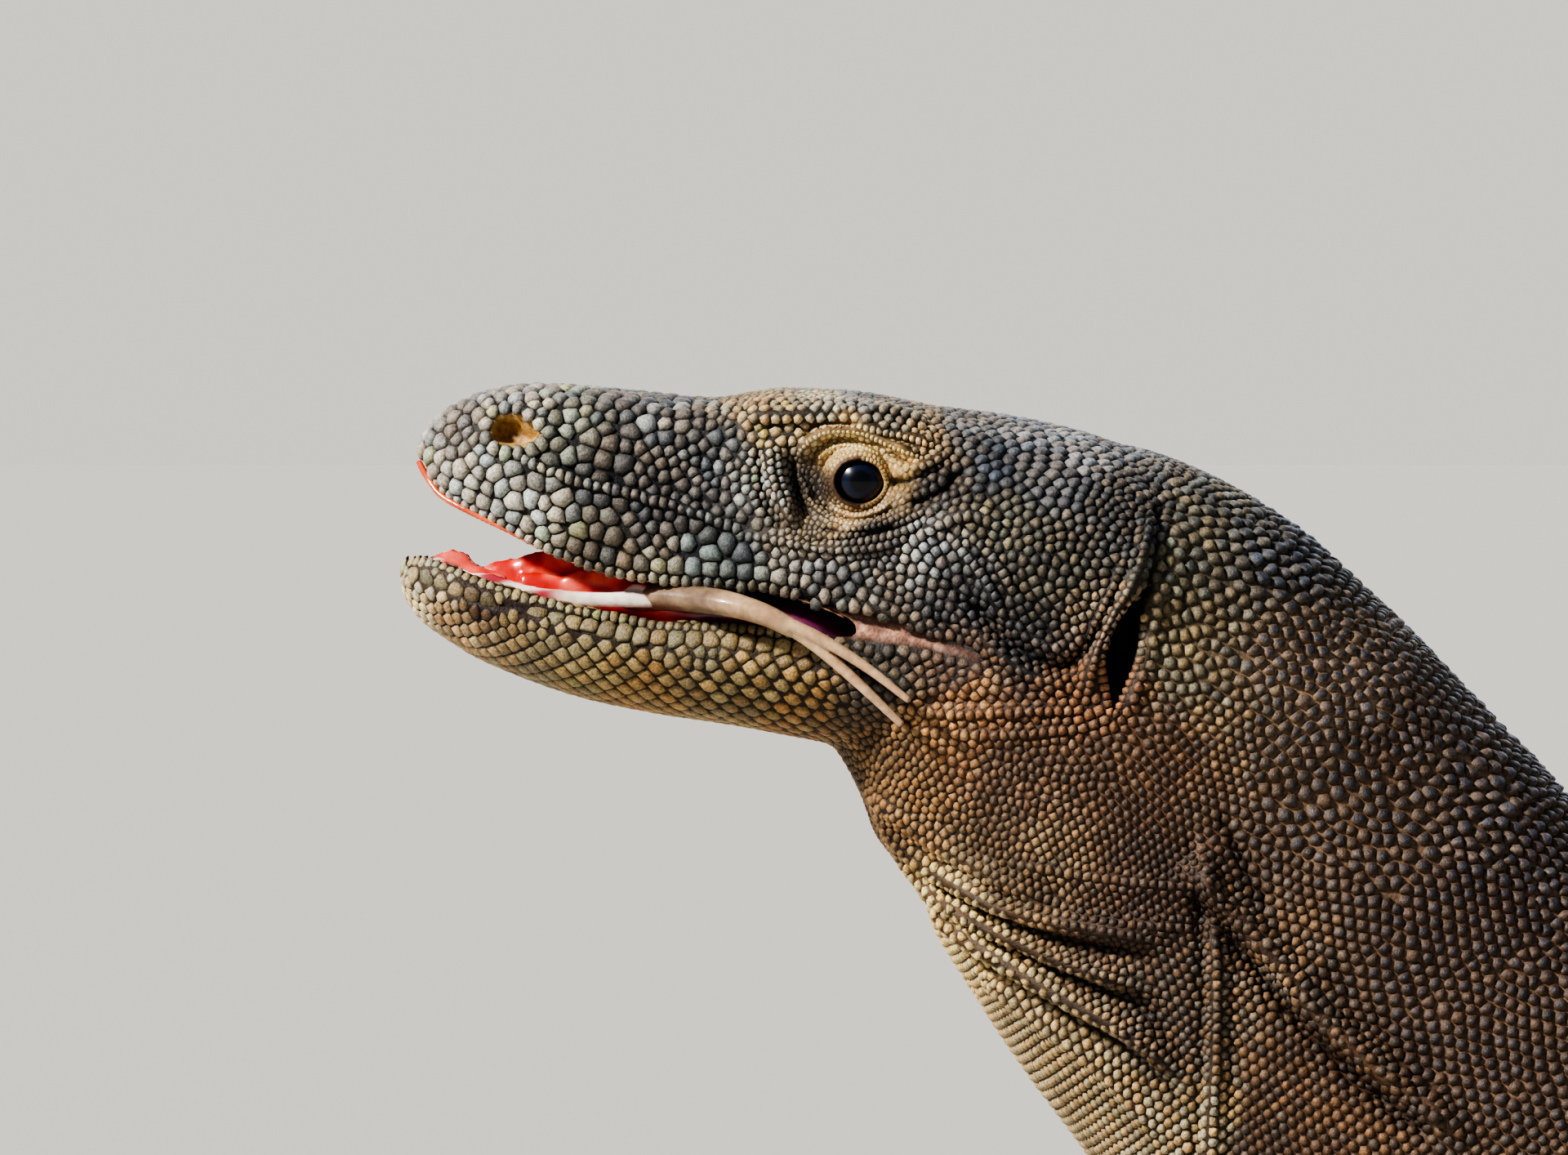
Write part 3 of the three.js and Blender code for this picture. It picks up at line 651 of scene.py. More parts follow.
# ---------------------------------------------------------------- folds, lids, nostrils and ears
# Each fold is a line of y and z over the eye in the side view, its height (a groove if negative) and half
# width, its tone (pale if positive: paler skin with painted light on the crest; dark if negative: painted
# shade along the crease), and the pitch of the beads along it, or 0.
FOLDS = [
    # the upper lid, its outer fold and the folds under the brow
    ([(106.5, 4.5), (109, 8), (113.5, 9.7), (119, 9.3), (124, 7.3)], 0.9, 1.1, 0.9, 1.0),
    ([(105.5, 3.5), (107.5, 8.5), (112, 11.3), (118, 11.3), (124, 9.6), (130, 6.2), (134, 4)], -1.1, 0.7,
     -0.9, 0),
    ([(101.5, 5.5), (104, 9.5), (108, 12.4), (113, 13.4), (119, 12.8), (124, 10.8), (130, 8.2), (136, 6)],
     1.7, 1.5, 0.9, 1.3),
    ([(103, 12.5), (109, 15), (116, 14.7), (121, 12.8), (128, 10.6), (136, 8)], -1.0, 0.8, -0.8, 0),
    ([(116, 15), (124, 13.4), (131, 11.8), (139, 9.4)], 1.3, 1.5, 0.6, 1.8),
    ([(86, 17), (96, 16.8), (106, 17), (118, 17), (129, 16.2), (139, 13.5)], 1.7, 2.0, 0.15, 3.0),
    ([(88, 14.4), (98, 14.2), (108, 15.2)], -0.6, 0.8, -0.4, 0),
    ([(86, 20.4), (97, 20.4), (109, 20.4), (121, 19.9), (133, 17.6)], 0.7, 1.6, 0.1, 2.9),
    # the dark rim of the lids before the pupil
    ([(121, 6.3), (118, 6.5), (114, 5.0), (111.7, 0.6), (113.2, -4.6), (117.5, -6.7), (121, -6.2)], 0, 0.8,
     -0.75, 0),
    ([(126, 2), (128, 0), (131, -0.6), (133, 0.4)], -0.5, 1.5, -0.6, 0),
    # the lower lid and the wrinkles under it
    ([(110, -4.5), (113, -7.6), (118, -8.8), (123, -7.8), (128, -4.6)], 0.8, 1.0, 0.9, 1.1),
    ([(107.5, -4), (111, -8.2), (117, -10.2), (123, -9.3), (128.5, -6.2)], -0.6, 0.5, -0.6, 0),
    ([(103, -1), (105.5, -5), (110, -9), (116, -11), (123, -10.4), (129, -7.6)], 1.0, 0.9, 0.5, 1.3),
    ([(113, -12.8), (119, -12.2), (126, -10.4), (133, -7.2)], 0.9, 0.8, 0.3, 1.7),
    ([(110, -14.6), (117, -14.1), (124, -12.9), (130, -10.8), (136, -7.6)], 0.9, 0.8, 0.05, 1.8),
    ([(106, -16.6), (114, -16.4), (122, -15.4), (130, -13.2), (136, -10)], 0.7, 0.9, 0, 2.0),
    ([(86, -14.5), (95, -15.4), (104, -17.2), (114, -18.2), (124, -17.4), (131, -15)], 1.0, 1.1, 0.25, 2.2),
    ([(107, -12), (114, -13.5), (121, -13.2), (129, -11.6), (136, -8.8)], -0.9, 0.6, -0.7, 0),
    ([(100, -16), (112, -15.6), (121, -14.3), (130, -12)], -0.7, 0.6, -0.6, 0),
    # the dusty edge along the snout, and the groove under the lower lip's edge
    ([(28, 6.5), (36, 2.6), (46, -0.6), (60, -4), (74, -8), (87, -13)], 1.5, 1.3, 0.45, 2.6),
    ([(33, 6.6), (40, 4), (50, 0.6), (62, -1.6), (74, -5), (85, -9.6)], -0.7, 1.0, -0.5, 0),
    ([(-2, -24.6), (6, -28), (14, -31.2), (30, -34.4), (50, -37.2), (70, -39)], -0.9, 0.9, -0.75, 0),
    ([(27, 19.4), (32, 17.6), (36.4, 14), (36.6, 9.6)], 1.0, 1.7, 0.55, 0),
    # before the eye
    ([(94.5, 11), (94.6, 6), (95.2, 2), (97.2, -3), (99.4, -8), (102, -12.5)], 2.0, 1.7, 0.55, 2.3),
    ([(96.6, 9.5), (97.0, 5), (97.6, 1), (99.4, -3.5), (101.5, -8)], 1.2, 1.2, 0.3, 2.0),
    ([(92.3, 11), (91.8, 4), (92.5, -3), (95.4, -9), (98.6, -13)], -1.0, 1.3, -0.5, 0),
    ([(99.4, 10), (99.8, 4), (100.8, -1), (103, -6), (106, -10.5)], -1.1, 1.3, -0.48, 0),
    ([(101.5, 4), (103, 0.5), (105.5, -3.5)], 0.8, 0.7, 0.2, 1.6),
    # behind the eye
    ([(126, 0.5), (131, 0.5), (136, 2.2), (142, 5)], -0.9, 1.0, -0.6, 0),
    ([(131, -5.5), (136, -4.5), (142, -1), (147, 4)], -1.3, 1.3, -0.8, 0),
    ([(130, 3.6), (136, 4.4), (142, 7.5)], 0.9, 1.2, 0.3, 2.2),
    # rows of the cheek, fanning back from under the eye
    ([(134, -15), (140, -11.5), (146, -9), (152, -10), (158, -14)], 1.3, 1.6, 0.45, 2.7),
    ([(146, -13), (151, -17), (156, -23), (160, -30)], 0.9, 1.0, 0.35, 2.4),
    ([(142, -14), (147, -19.5), (152, -26), (156, -33)], 0.8, 1.0, 0.2, 2.4),
    ([(144.4, -12.5), (149.4, -18.4), (154.5, -25.5), (158.5, -33)], -0.9, 0.6, -0.6, 0),
    ([(140.5, -17), (145, -22.5), (150, -29), (154.5, -35)], -0.9, 0.6, -0.6, 0),
    ([(149.6, -12), (154, -16.5), (159, -23), (163, -31)], -0.8, 0.6, -0.5, 0),
    ([(136.5, -19), (141, -25), (146.5, -31.5), (152, -37)], -0.8, 0.6, -0.5, 0),
    # the jaw's muscle, bounded below and behind by a crease
    ([(146, -29), (152, -36), (159, -43), (166, -47.5), (173, -48.6), (179, -44), (184, -36)], -1.9, 1.8,
     -0.6, 0),
    ([(149, -26), (155, -33), (161, -39), (168, -43.5), (174, -44)], 0.9, 1.4, 0, 0),
    ([(140, -30), (149, -39), (158, -47), (167, -52.5), (175, -54)], 1.1, 1.5, 0.1, 0),
    ([(136, -33), (146, -42.5), (157, -50.5), (168, -56)], -0.9, 1.1, -0.4, 0),
    # the corner of the mouth
    ([(100, -31.5), (110, -34.6), (120, -37), (131, -40.2), (143, -44)], -1.2, 1.6, 0, 0),
    ([(104, -29.6), (114, -32.2), (124, -34.2), (135, -38), (148, -42.5)], 0.9, 1.3, 0.15, 0),
    ([(104, -43.5), (116, -44.4), (130, -46), (146, -48)], 0.8, 1.6, -0.1, 0),
    # before and behind the ear
    ([(196.5, -5), (194.6, -16), (191, -26), (186.6, -34), (182.6, -42), (180, -50), (178.6, -58)], 2.0, 2.1,
     0.2, 2.2),
    ([(190.5, -14), (187.6, -24), (183.6, -32), (180, -40), (177.4, -48)], 0.9, 1.2, 0.1, 2.2),
    ([(188.8, -22), (185.4, -31), (181.6, -39), (178.4, -48)], -0.8, 0.7, -0.6, 0),
    ([(198.5, -4), (196.9, -14), (196, -24), (195.4, -31)], -1.3, 1.0, -0.8, 0),
    ([(200, -24), (197.4, -34), (195.4, -44), (192.6, -54), (189, -62)], 1.0, 2.0, 0.15, 0),
    ([(204, -10), (202.6, -24), (201.4, -38)], 0.8, 1.4, 0.1, 0),
    # rusty stretched rows between the mouth's corner and the neck
    ([(126, -60), (142, -61.8), (160, -61), (178, -60.4)], 0.9, 1.4, 0, 2.6),
    ([(122, -56.6), (140, -58), (158, -57.6), (174, -57.4)], -0.7, 0.9, -0.3, 0),
    ([(122, -64.6), (142, -67), (160, -67), (180, -65)], 0.8, 1.4, 0, 2.6),
    # the throat, drawn together towards the upright fold
    ([(104, -70.5), (116, -80), (128, -88), (142, -97), (156, -105), (172, -112)], 1.7, 2.4, 0.15, 2.5),
    ([(106, -74), (117, -83.5), (129, -95.5), (141, -104.5), (153, -111), (166, -115.5), (184, -119),
      (202, -122)], 2.6, 1.9, 0.25, 2.5),
    ([(112, -78.6), (121, -87.8), (132, -99.8), (143, -108.8), (155, -115.6), (168, -120), (184, -123.6),
      (204, -127)], -1.9, 1.3, -0.45, 0),
    ([(124, -93), (134, -104), (146, -113.4), (157, -120), (169, -125.4), (182, -130), (200, -136)], 3.0, 1.8,
     0.25, 2.5),
    ([(140, -112.6), (150, -119), (161, -124.6), (173, -130.4), (185, -135.6), (199, -142.6)], -2.0, 1.4,
     -0.45, 0),
    ([(130, -104), (144, -117), (157, -126), (171, -134.6), (184, -141.6), (196, -149), (206, -159)], 3.4,
     2.2, 0.3, 2.5),
    ([(148, -124), (160, -132.6), (174, -141.6), (187, -149), (198, -158), (207, -169)], -1.6, 1.5, -0.35, 0),
    ([(150, -130), (164, -141), (178, -151), (190, -162), (200, -176)], 1.6, 2.2, 0.15, 0),
    ([(160, -112), (174, -115), (190, -117), (206, -118)], 1.1, 2.0, 0.1, 2.5),
    ([(158, -101), (176, -104), (192, -106), (206, -107)], 0.9, 1.9, 0.1, 2.5),
    ([(186, -128), (194, -138), (200, -150), (205, -160)], -1.2, 3.2, -0.45, 0),
    # the upright fold and the neck's slanting fold
    ([(204, -88), (207.5, -104), (209, -124), (209.4, -146), (208.4, -168), (206.5, -196)], -1.3, 1.5, -0.36,
     0),
    ([(208, -90), (212.4, -116), (213.2, -140), (212.6, -164), (211.4, -196)], 1.6, 2.3, 0.1, 2.8),
    ([(216, -126), (217.4, -140), (217, -164), (216, -196)], -0.5, 1.8, -0.15, 0),
    ([(203, -97), (210, -106), (219, -115), (228, -126), (239, -140), (252, -152), (268, -165), (282, -176)],
     3.6, 3.4, 0.1, 0),
    ([(205, -106), (213, -115.6), (222, -126.4), (232, -139), (244, -151.6), (259, -164), (274, -176)], -2.8,
     2.2, -0.75, 0),
    ([(213, -86), (217.6, -95), (222, -105), (228, -114)], -1.5, 1.6, -0.7, 0),
    ([(236, -96), (252, -112), (270, -128)], 0.9, 4, 0, 0),
    ([(240, -126), (256, -141), (276, -156)], -0.9, 3, -0.15, 0),
    # slack skin at the neck's root, behind the shoulder, along the flank and before the hind leg
    ([(306, -128), (322, -170), (330, -226)], 1.6, 6, 0.05, 0),
    ([(322, -122), (338, -166), (347, -222)], -1.5, 5, -0.1, 0),
    ([(338, -112), (355, -160), (364, -220)], 1.7, 7, 0.05, 0),
    ([(456, -196), (472, -240), (480, -300), (474, -352)], 1.8, 7, 0.05, 0),
    ([(474, -200), (491, -246), (499, -306), (492, -356)], -1.6, 6, -0.1, 0),
    ([(494, -214), (512, -262), (518, -318), (510, -362)], 1.5, 8, 0.05, 0),
    ([(506, -340), (580, -362), (670, -371), (760, -363), (838, -338)], 2.0, 9, 0.05, 0),
    ([(520, -364), (590, -383), (670, -391), (760, -384), (826, -362)], -1.6, 7, -0.12, 0),
    ([(560, -300), (640, -316), (730, -315), (806, -296)], 1.1, 12, 0, 0),
    ([(838, -206), (822, -250), (818, -306), (828, -344)], 1.7, 7, 0.05, 0),
    ([(822, -204), (805, -250), (800, -304), (806, -340)], -1.5, 6, -0.1, 0),
    ([(806, -214), (788, -256), (782, -308)], 1.2, 8, 0.05, 0),
    ([(1012, -262), (1030, -300), (1036, -340)], 1.4, 7, 0.05, 0),
    ([(1030, -262), (1047, -302), (1052, -340)], -1.3, 6, -0.1, 0),
    # the shoulder
    ([(330, -250), (345, -280), (350, -310)], 3.0, 8.0, 0, 0),
    ([(316, -250), (331, -283), (338, -315)], -3.0, 6.0, -0.2, 0),
]
FOLD_DEPTH = 1.7
# y, z over the eye, half width, half height, and rise in mm
BROAD_FORMS = [
    (168, -22, 17, 19, 2.2),  # the jaw's muscle
    (138, -50, 13, 9, 1.0),  # the flesh at the mouth's corner
    (79, 2, 15, 9, -1.5),  # the hollow before the eye
]
SIDE_STARTS = 12  # mm from the middle line where the side view's openings, beads and colours start
NOSTRIL_EDGE = [
    (20.6, 13.6), (22.3, 17.0), (26.6, 17.4), (30.4, 15.2),
    (33.3, 12.8), (30.2, 10.0), (25.4, 9.4), (21.4, 10.6),
]
EAR_EDGE = [
    (194.6, -28), (193.8, -36), (191.8, -46), (188.8, -55),
    (186, -60.4), (184.4, -54), (184.2, -46), (187.4, -36.6),
]
# edge, depth of the pit, height of the rim, width of the wall
OPENINGS = [(NOSTRIL_EDGE, 5.0, 0.9, 2.6), (EAR_EDGE, 10.0, 0.5, 2.2)]
EYE_OPENING = [
    (112.4, 0.2), (114.4, 4.1), (118.8, 5.5), (123.2, 3.9),
    (125.2, -0.7), (122.8, -4.5), (118.4, -5.8), (114.2, -3.9),
]
LID = SimpleNamespace(radius=10.6, depth=2.4, reach=16, inside=20)
# the stretched pink skin that runs back from the mouth's corner
CORNER = [
    (99, -35), (104.4, -34.4), (109.5, -33.4), (120, -35.8), (133, -40),
    (150, -46.6), (132, -43.4), (118, -41.6), (106, -39.4),
]


def from_segment(points, a, b):
    """Each point's distance from the line between a and b, and its share of the way from a to b."""
    share = np.clip(((points - a) @ (b - a)) / ((b - a) @ (b - a)), 0, 1)
    return np.hypot(*(points - a - share[:, None] * (b - a)).T), share


def edge_loop(edge, count):
    """count points along a smooth closed edge in the side view."""
    return closed(np.array([[[0, y, z] for y, z in edge]]), count)[0, :, 1:]


def along_line(points, line):
    """In the side view, each point's distance from a line and its share of the line's length."""
    curve = smooth(line, np.linspace(0, len(line) - 1, 6 * (len(line) - 1) + 1))
    best = np.full(len(points), 1e9)
    share = np.zeros(len(points))
    for k in range(len(curve) - 1):
        gap, t = from_segment(points, curve[k], curve[k + 1])
        nearer = gap < best
        best[nearer] = gap[nearer]
        share[nearer] = (k + t[nearer]) / (len(curve) - 1)
    return best, share


def past_edge(yz, edge):
    """In the side view, how far each point is outside a closed edge, and less than 0 inside it."""
    loop = edge_loop(edge, 6 * len(edge))
    best = np.full(len(yz), 1e9)
    inside = np.zeros(len(yz), bool)
    for a, b in zip(loop, np.roll(loop, -1, axis=0)):
        best = np.minimum(best, from_segment(yz, a, b)[0])
        crossing = (a[1] > yz[:, 1]) != (b[1] > yz[:, 1])
        with np.errstate(divide="ignore", invalid="ignore"):
            inside ^= crossing & (yz[:, 0] < a[0] + (yz[:, 1] - a[1]) * (b[0] - a[0]) / (b[1] - a[1]))
    return np.where(inside, -best, best)


def side_view(vertices):
    return np.column_stack([vertices[:, 1], vertices[:, 2] - EYE.z])


def mouth_inside(vertices):
    """1 inside the mouth and 0 outside it."""
    x, y, z = np.abs(vertices[:, 0]), vertices[:, 1], vertices[:, 2] - EYE.z
    roof, floor = column_at(UPPER_HEAD, ROOF_Z, y), column_at(LOWER_JAW, FLOOR_Z, y)
    above = z > 0.5 * (roof + floor)
    inner = np.where(above, column_at(UPPER_HEAD, HEAD_LIP_X, y), column_at(LOWER_JAW, JAW_LIP_X, y))
    inner = inner - 0.75 * lip_thickness(inner)
    within = step(0.6, -0.6, x - inner) * step(-4, -2, z - floor) * step(4, 2, z - roof)
    return within * step(140, 128, y) * step(-5, -3.5, y)


def folded(yz):
    """The height of the folds at places in the side view, and their tone from -1 to 1, which paints shade
    into the creases and light onto the paler crests.
    """
    lift, tone = np.zeros(len(yz)), np.zeros(len(yz))
    for line, height, width, shade, _ in FOLDS:
        low = np.min(line, axis=0) - 3 * width
        high = np.max(line, axis=0) + 3 * width
        near = np.nonzero(((yz > low) & (yz < high)).all(1))[0]
        gap, share = along_line(yz[near], line)
        strength = step(0, 0.14, share) * step(1, 0.86, share) * hill(gap, width)
        lift[near] += height * strength
        tone[near] += shade * strength
    return lift, np.clip(tone, -1, 1)


def moulded(vertices, triangles, edges):
    """The skin with its folds, lids and openings."""
    yz = side_view(vertices)
    normals = vertex_normals(vertices, triangles)
    facing = np.where(yz[:, 0] < 360, step(0.1, 0.45, np.abs(normals[:, 0])), 1)
    lift = FOLD_DEPTH * folded(yz)[0]
    y, z = yz.T
    for middle_y, middle_z, wide, high, rise in BROAD_FORMS:
        lift += rise * hill(y - middle_y, wide) * hill(z - middle_z, high)
    # the flat hollow round the eye, and slack skin
    lift -= 3.8 * hill(((y - 112) / 16) ** 2 + ((z - 0.5) / 11.5) ** 2, 1)
    lift += step(150, 260, y) * step(2200, 1500, y) * 2.6 * (noise(vertices * (1, 0.6, 1), 26, 1) - 0.5)
    lift += step(300, 420, y) * step(1100, 900, y) * 4 * (noise(vertices * (1, 0.5, 0.8), 60, 2) - 0.5)
    vertices = vertices + normals * (lift * facing)[:, None]

    # lids: a dome round the eyeball, open in the middle
    yz = side_view(vertices)
    side, out = np.sign(vertices[:, 0]), np.abs(vertices[:, 0])
    around = (np.abs(yz - (EYE.y, 0)) < LID.reach).all(1)
    near = np.nonzero(around & (out > LID.inside))[0]
    from_eye = np.hypot(yz[near, 0] - EYE.y, yz[near, 1])
    dome = EYE.x + np.sqrt(np.maximum(LID.radius**2 - from_eye**2, 0))
    lidded = mix(out[near], np.maximum(out[near], dome), step(11.5, 9.4, from_eye))
    sunk = EYE.x + np.sqrt(np.maximum(EYE.radius**2 - from_eye**2, 9)) - LID.depth
    opening = step(0.5, -0.5, past_edge(yz[near], EYE_OPENING))
    vertices[near, 0] = side[near] * mix(lidded, np.minimum(lidded, sunk), opening)

    # nostrils and ears: pits with steep walls and low rims
    normals = vertex_normals(vertices, triangles)
    for edge, depth, rim, wall in OPENINGS:
        around = (np.abs(yz - np.mean(edge, axis=0)) < 25).all(1)
        near = np.nonzero(around & (np.abs(normals[:, 0]) > 0.2))[0]
        past = past_edge(yz[near], edge)
        pit = rim * hill(past - 1.6, 1.3) - depth * step(0.3, -wall, past)
        vertices[near] += normals[near] * pit[:, None]
    return relaxed(vertices, edges, 1, 0.3)


# ---------------------------------------------------------------- zones of scales
def zone(name, y, z, pitch, dark, light, rim, height=0.38, fill=1.0, lean=0.0, pale=0.5, lie=0, stretch=1.0):
    """What the scales are like round a place: their pitch in mm, their height as a share of it, the share of
    the pitch that they fill, how far they lean back, how many are pale, and how many times longer they are
    than wide and in which direction, in degrees down from straight back. Colours are sRGB out of 255."""
    turn = math.radians(lie)
    pull = stretch - 1
    values = (pitch, height, fill, lean, pale, pull * math.cos(2 * turn), pull * math.sin(2 * turn))
    return name, (y, z), (*values, *linear(dark), *linear(light), *linear(rim))


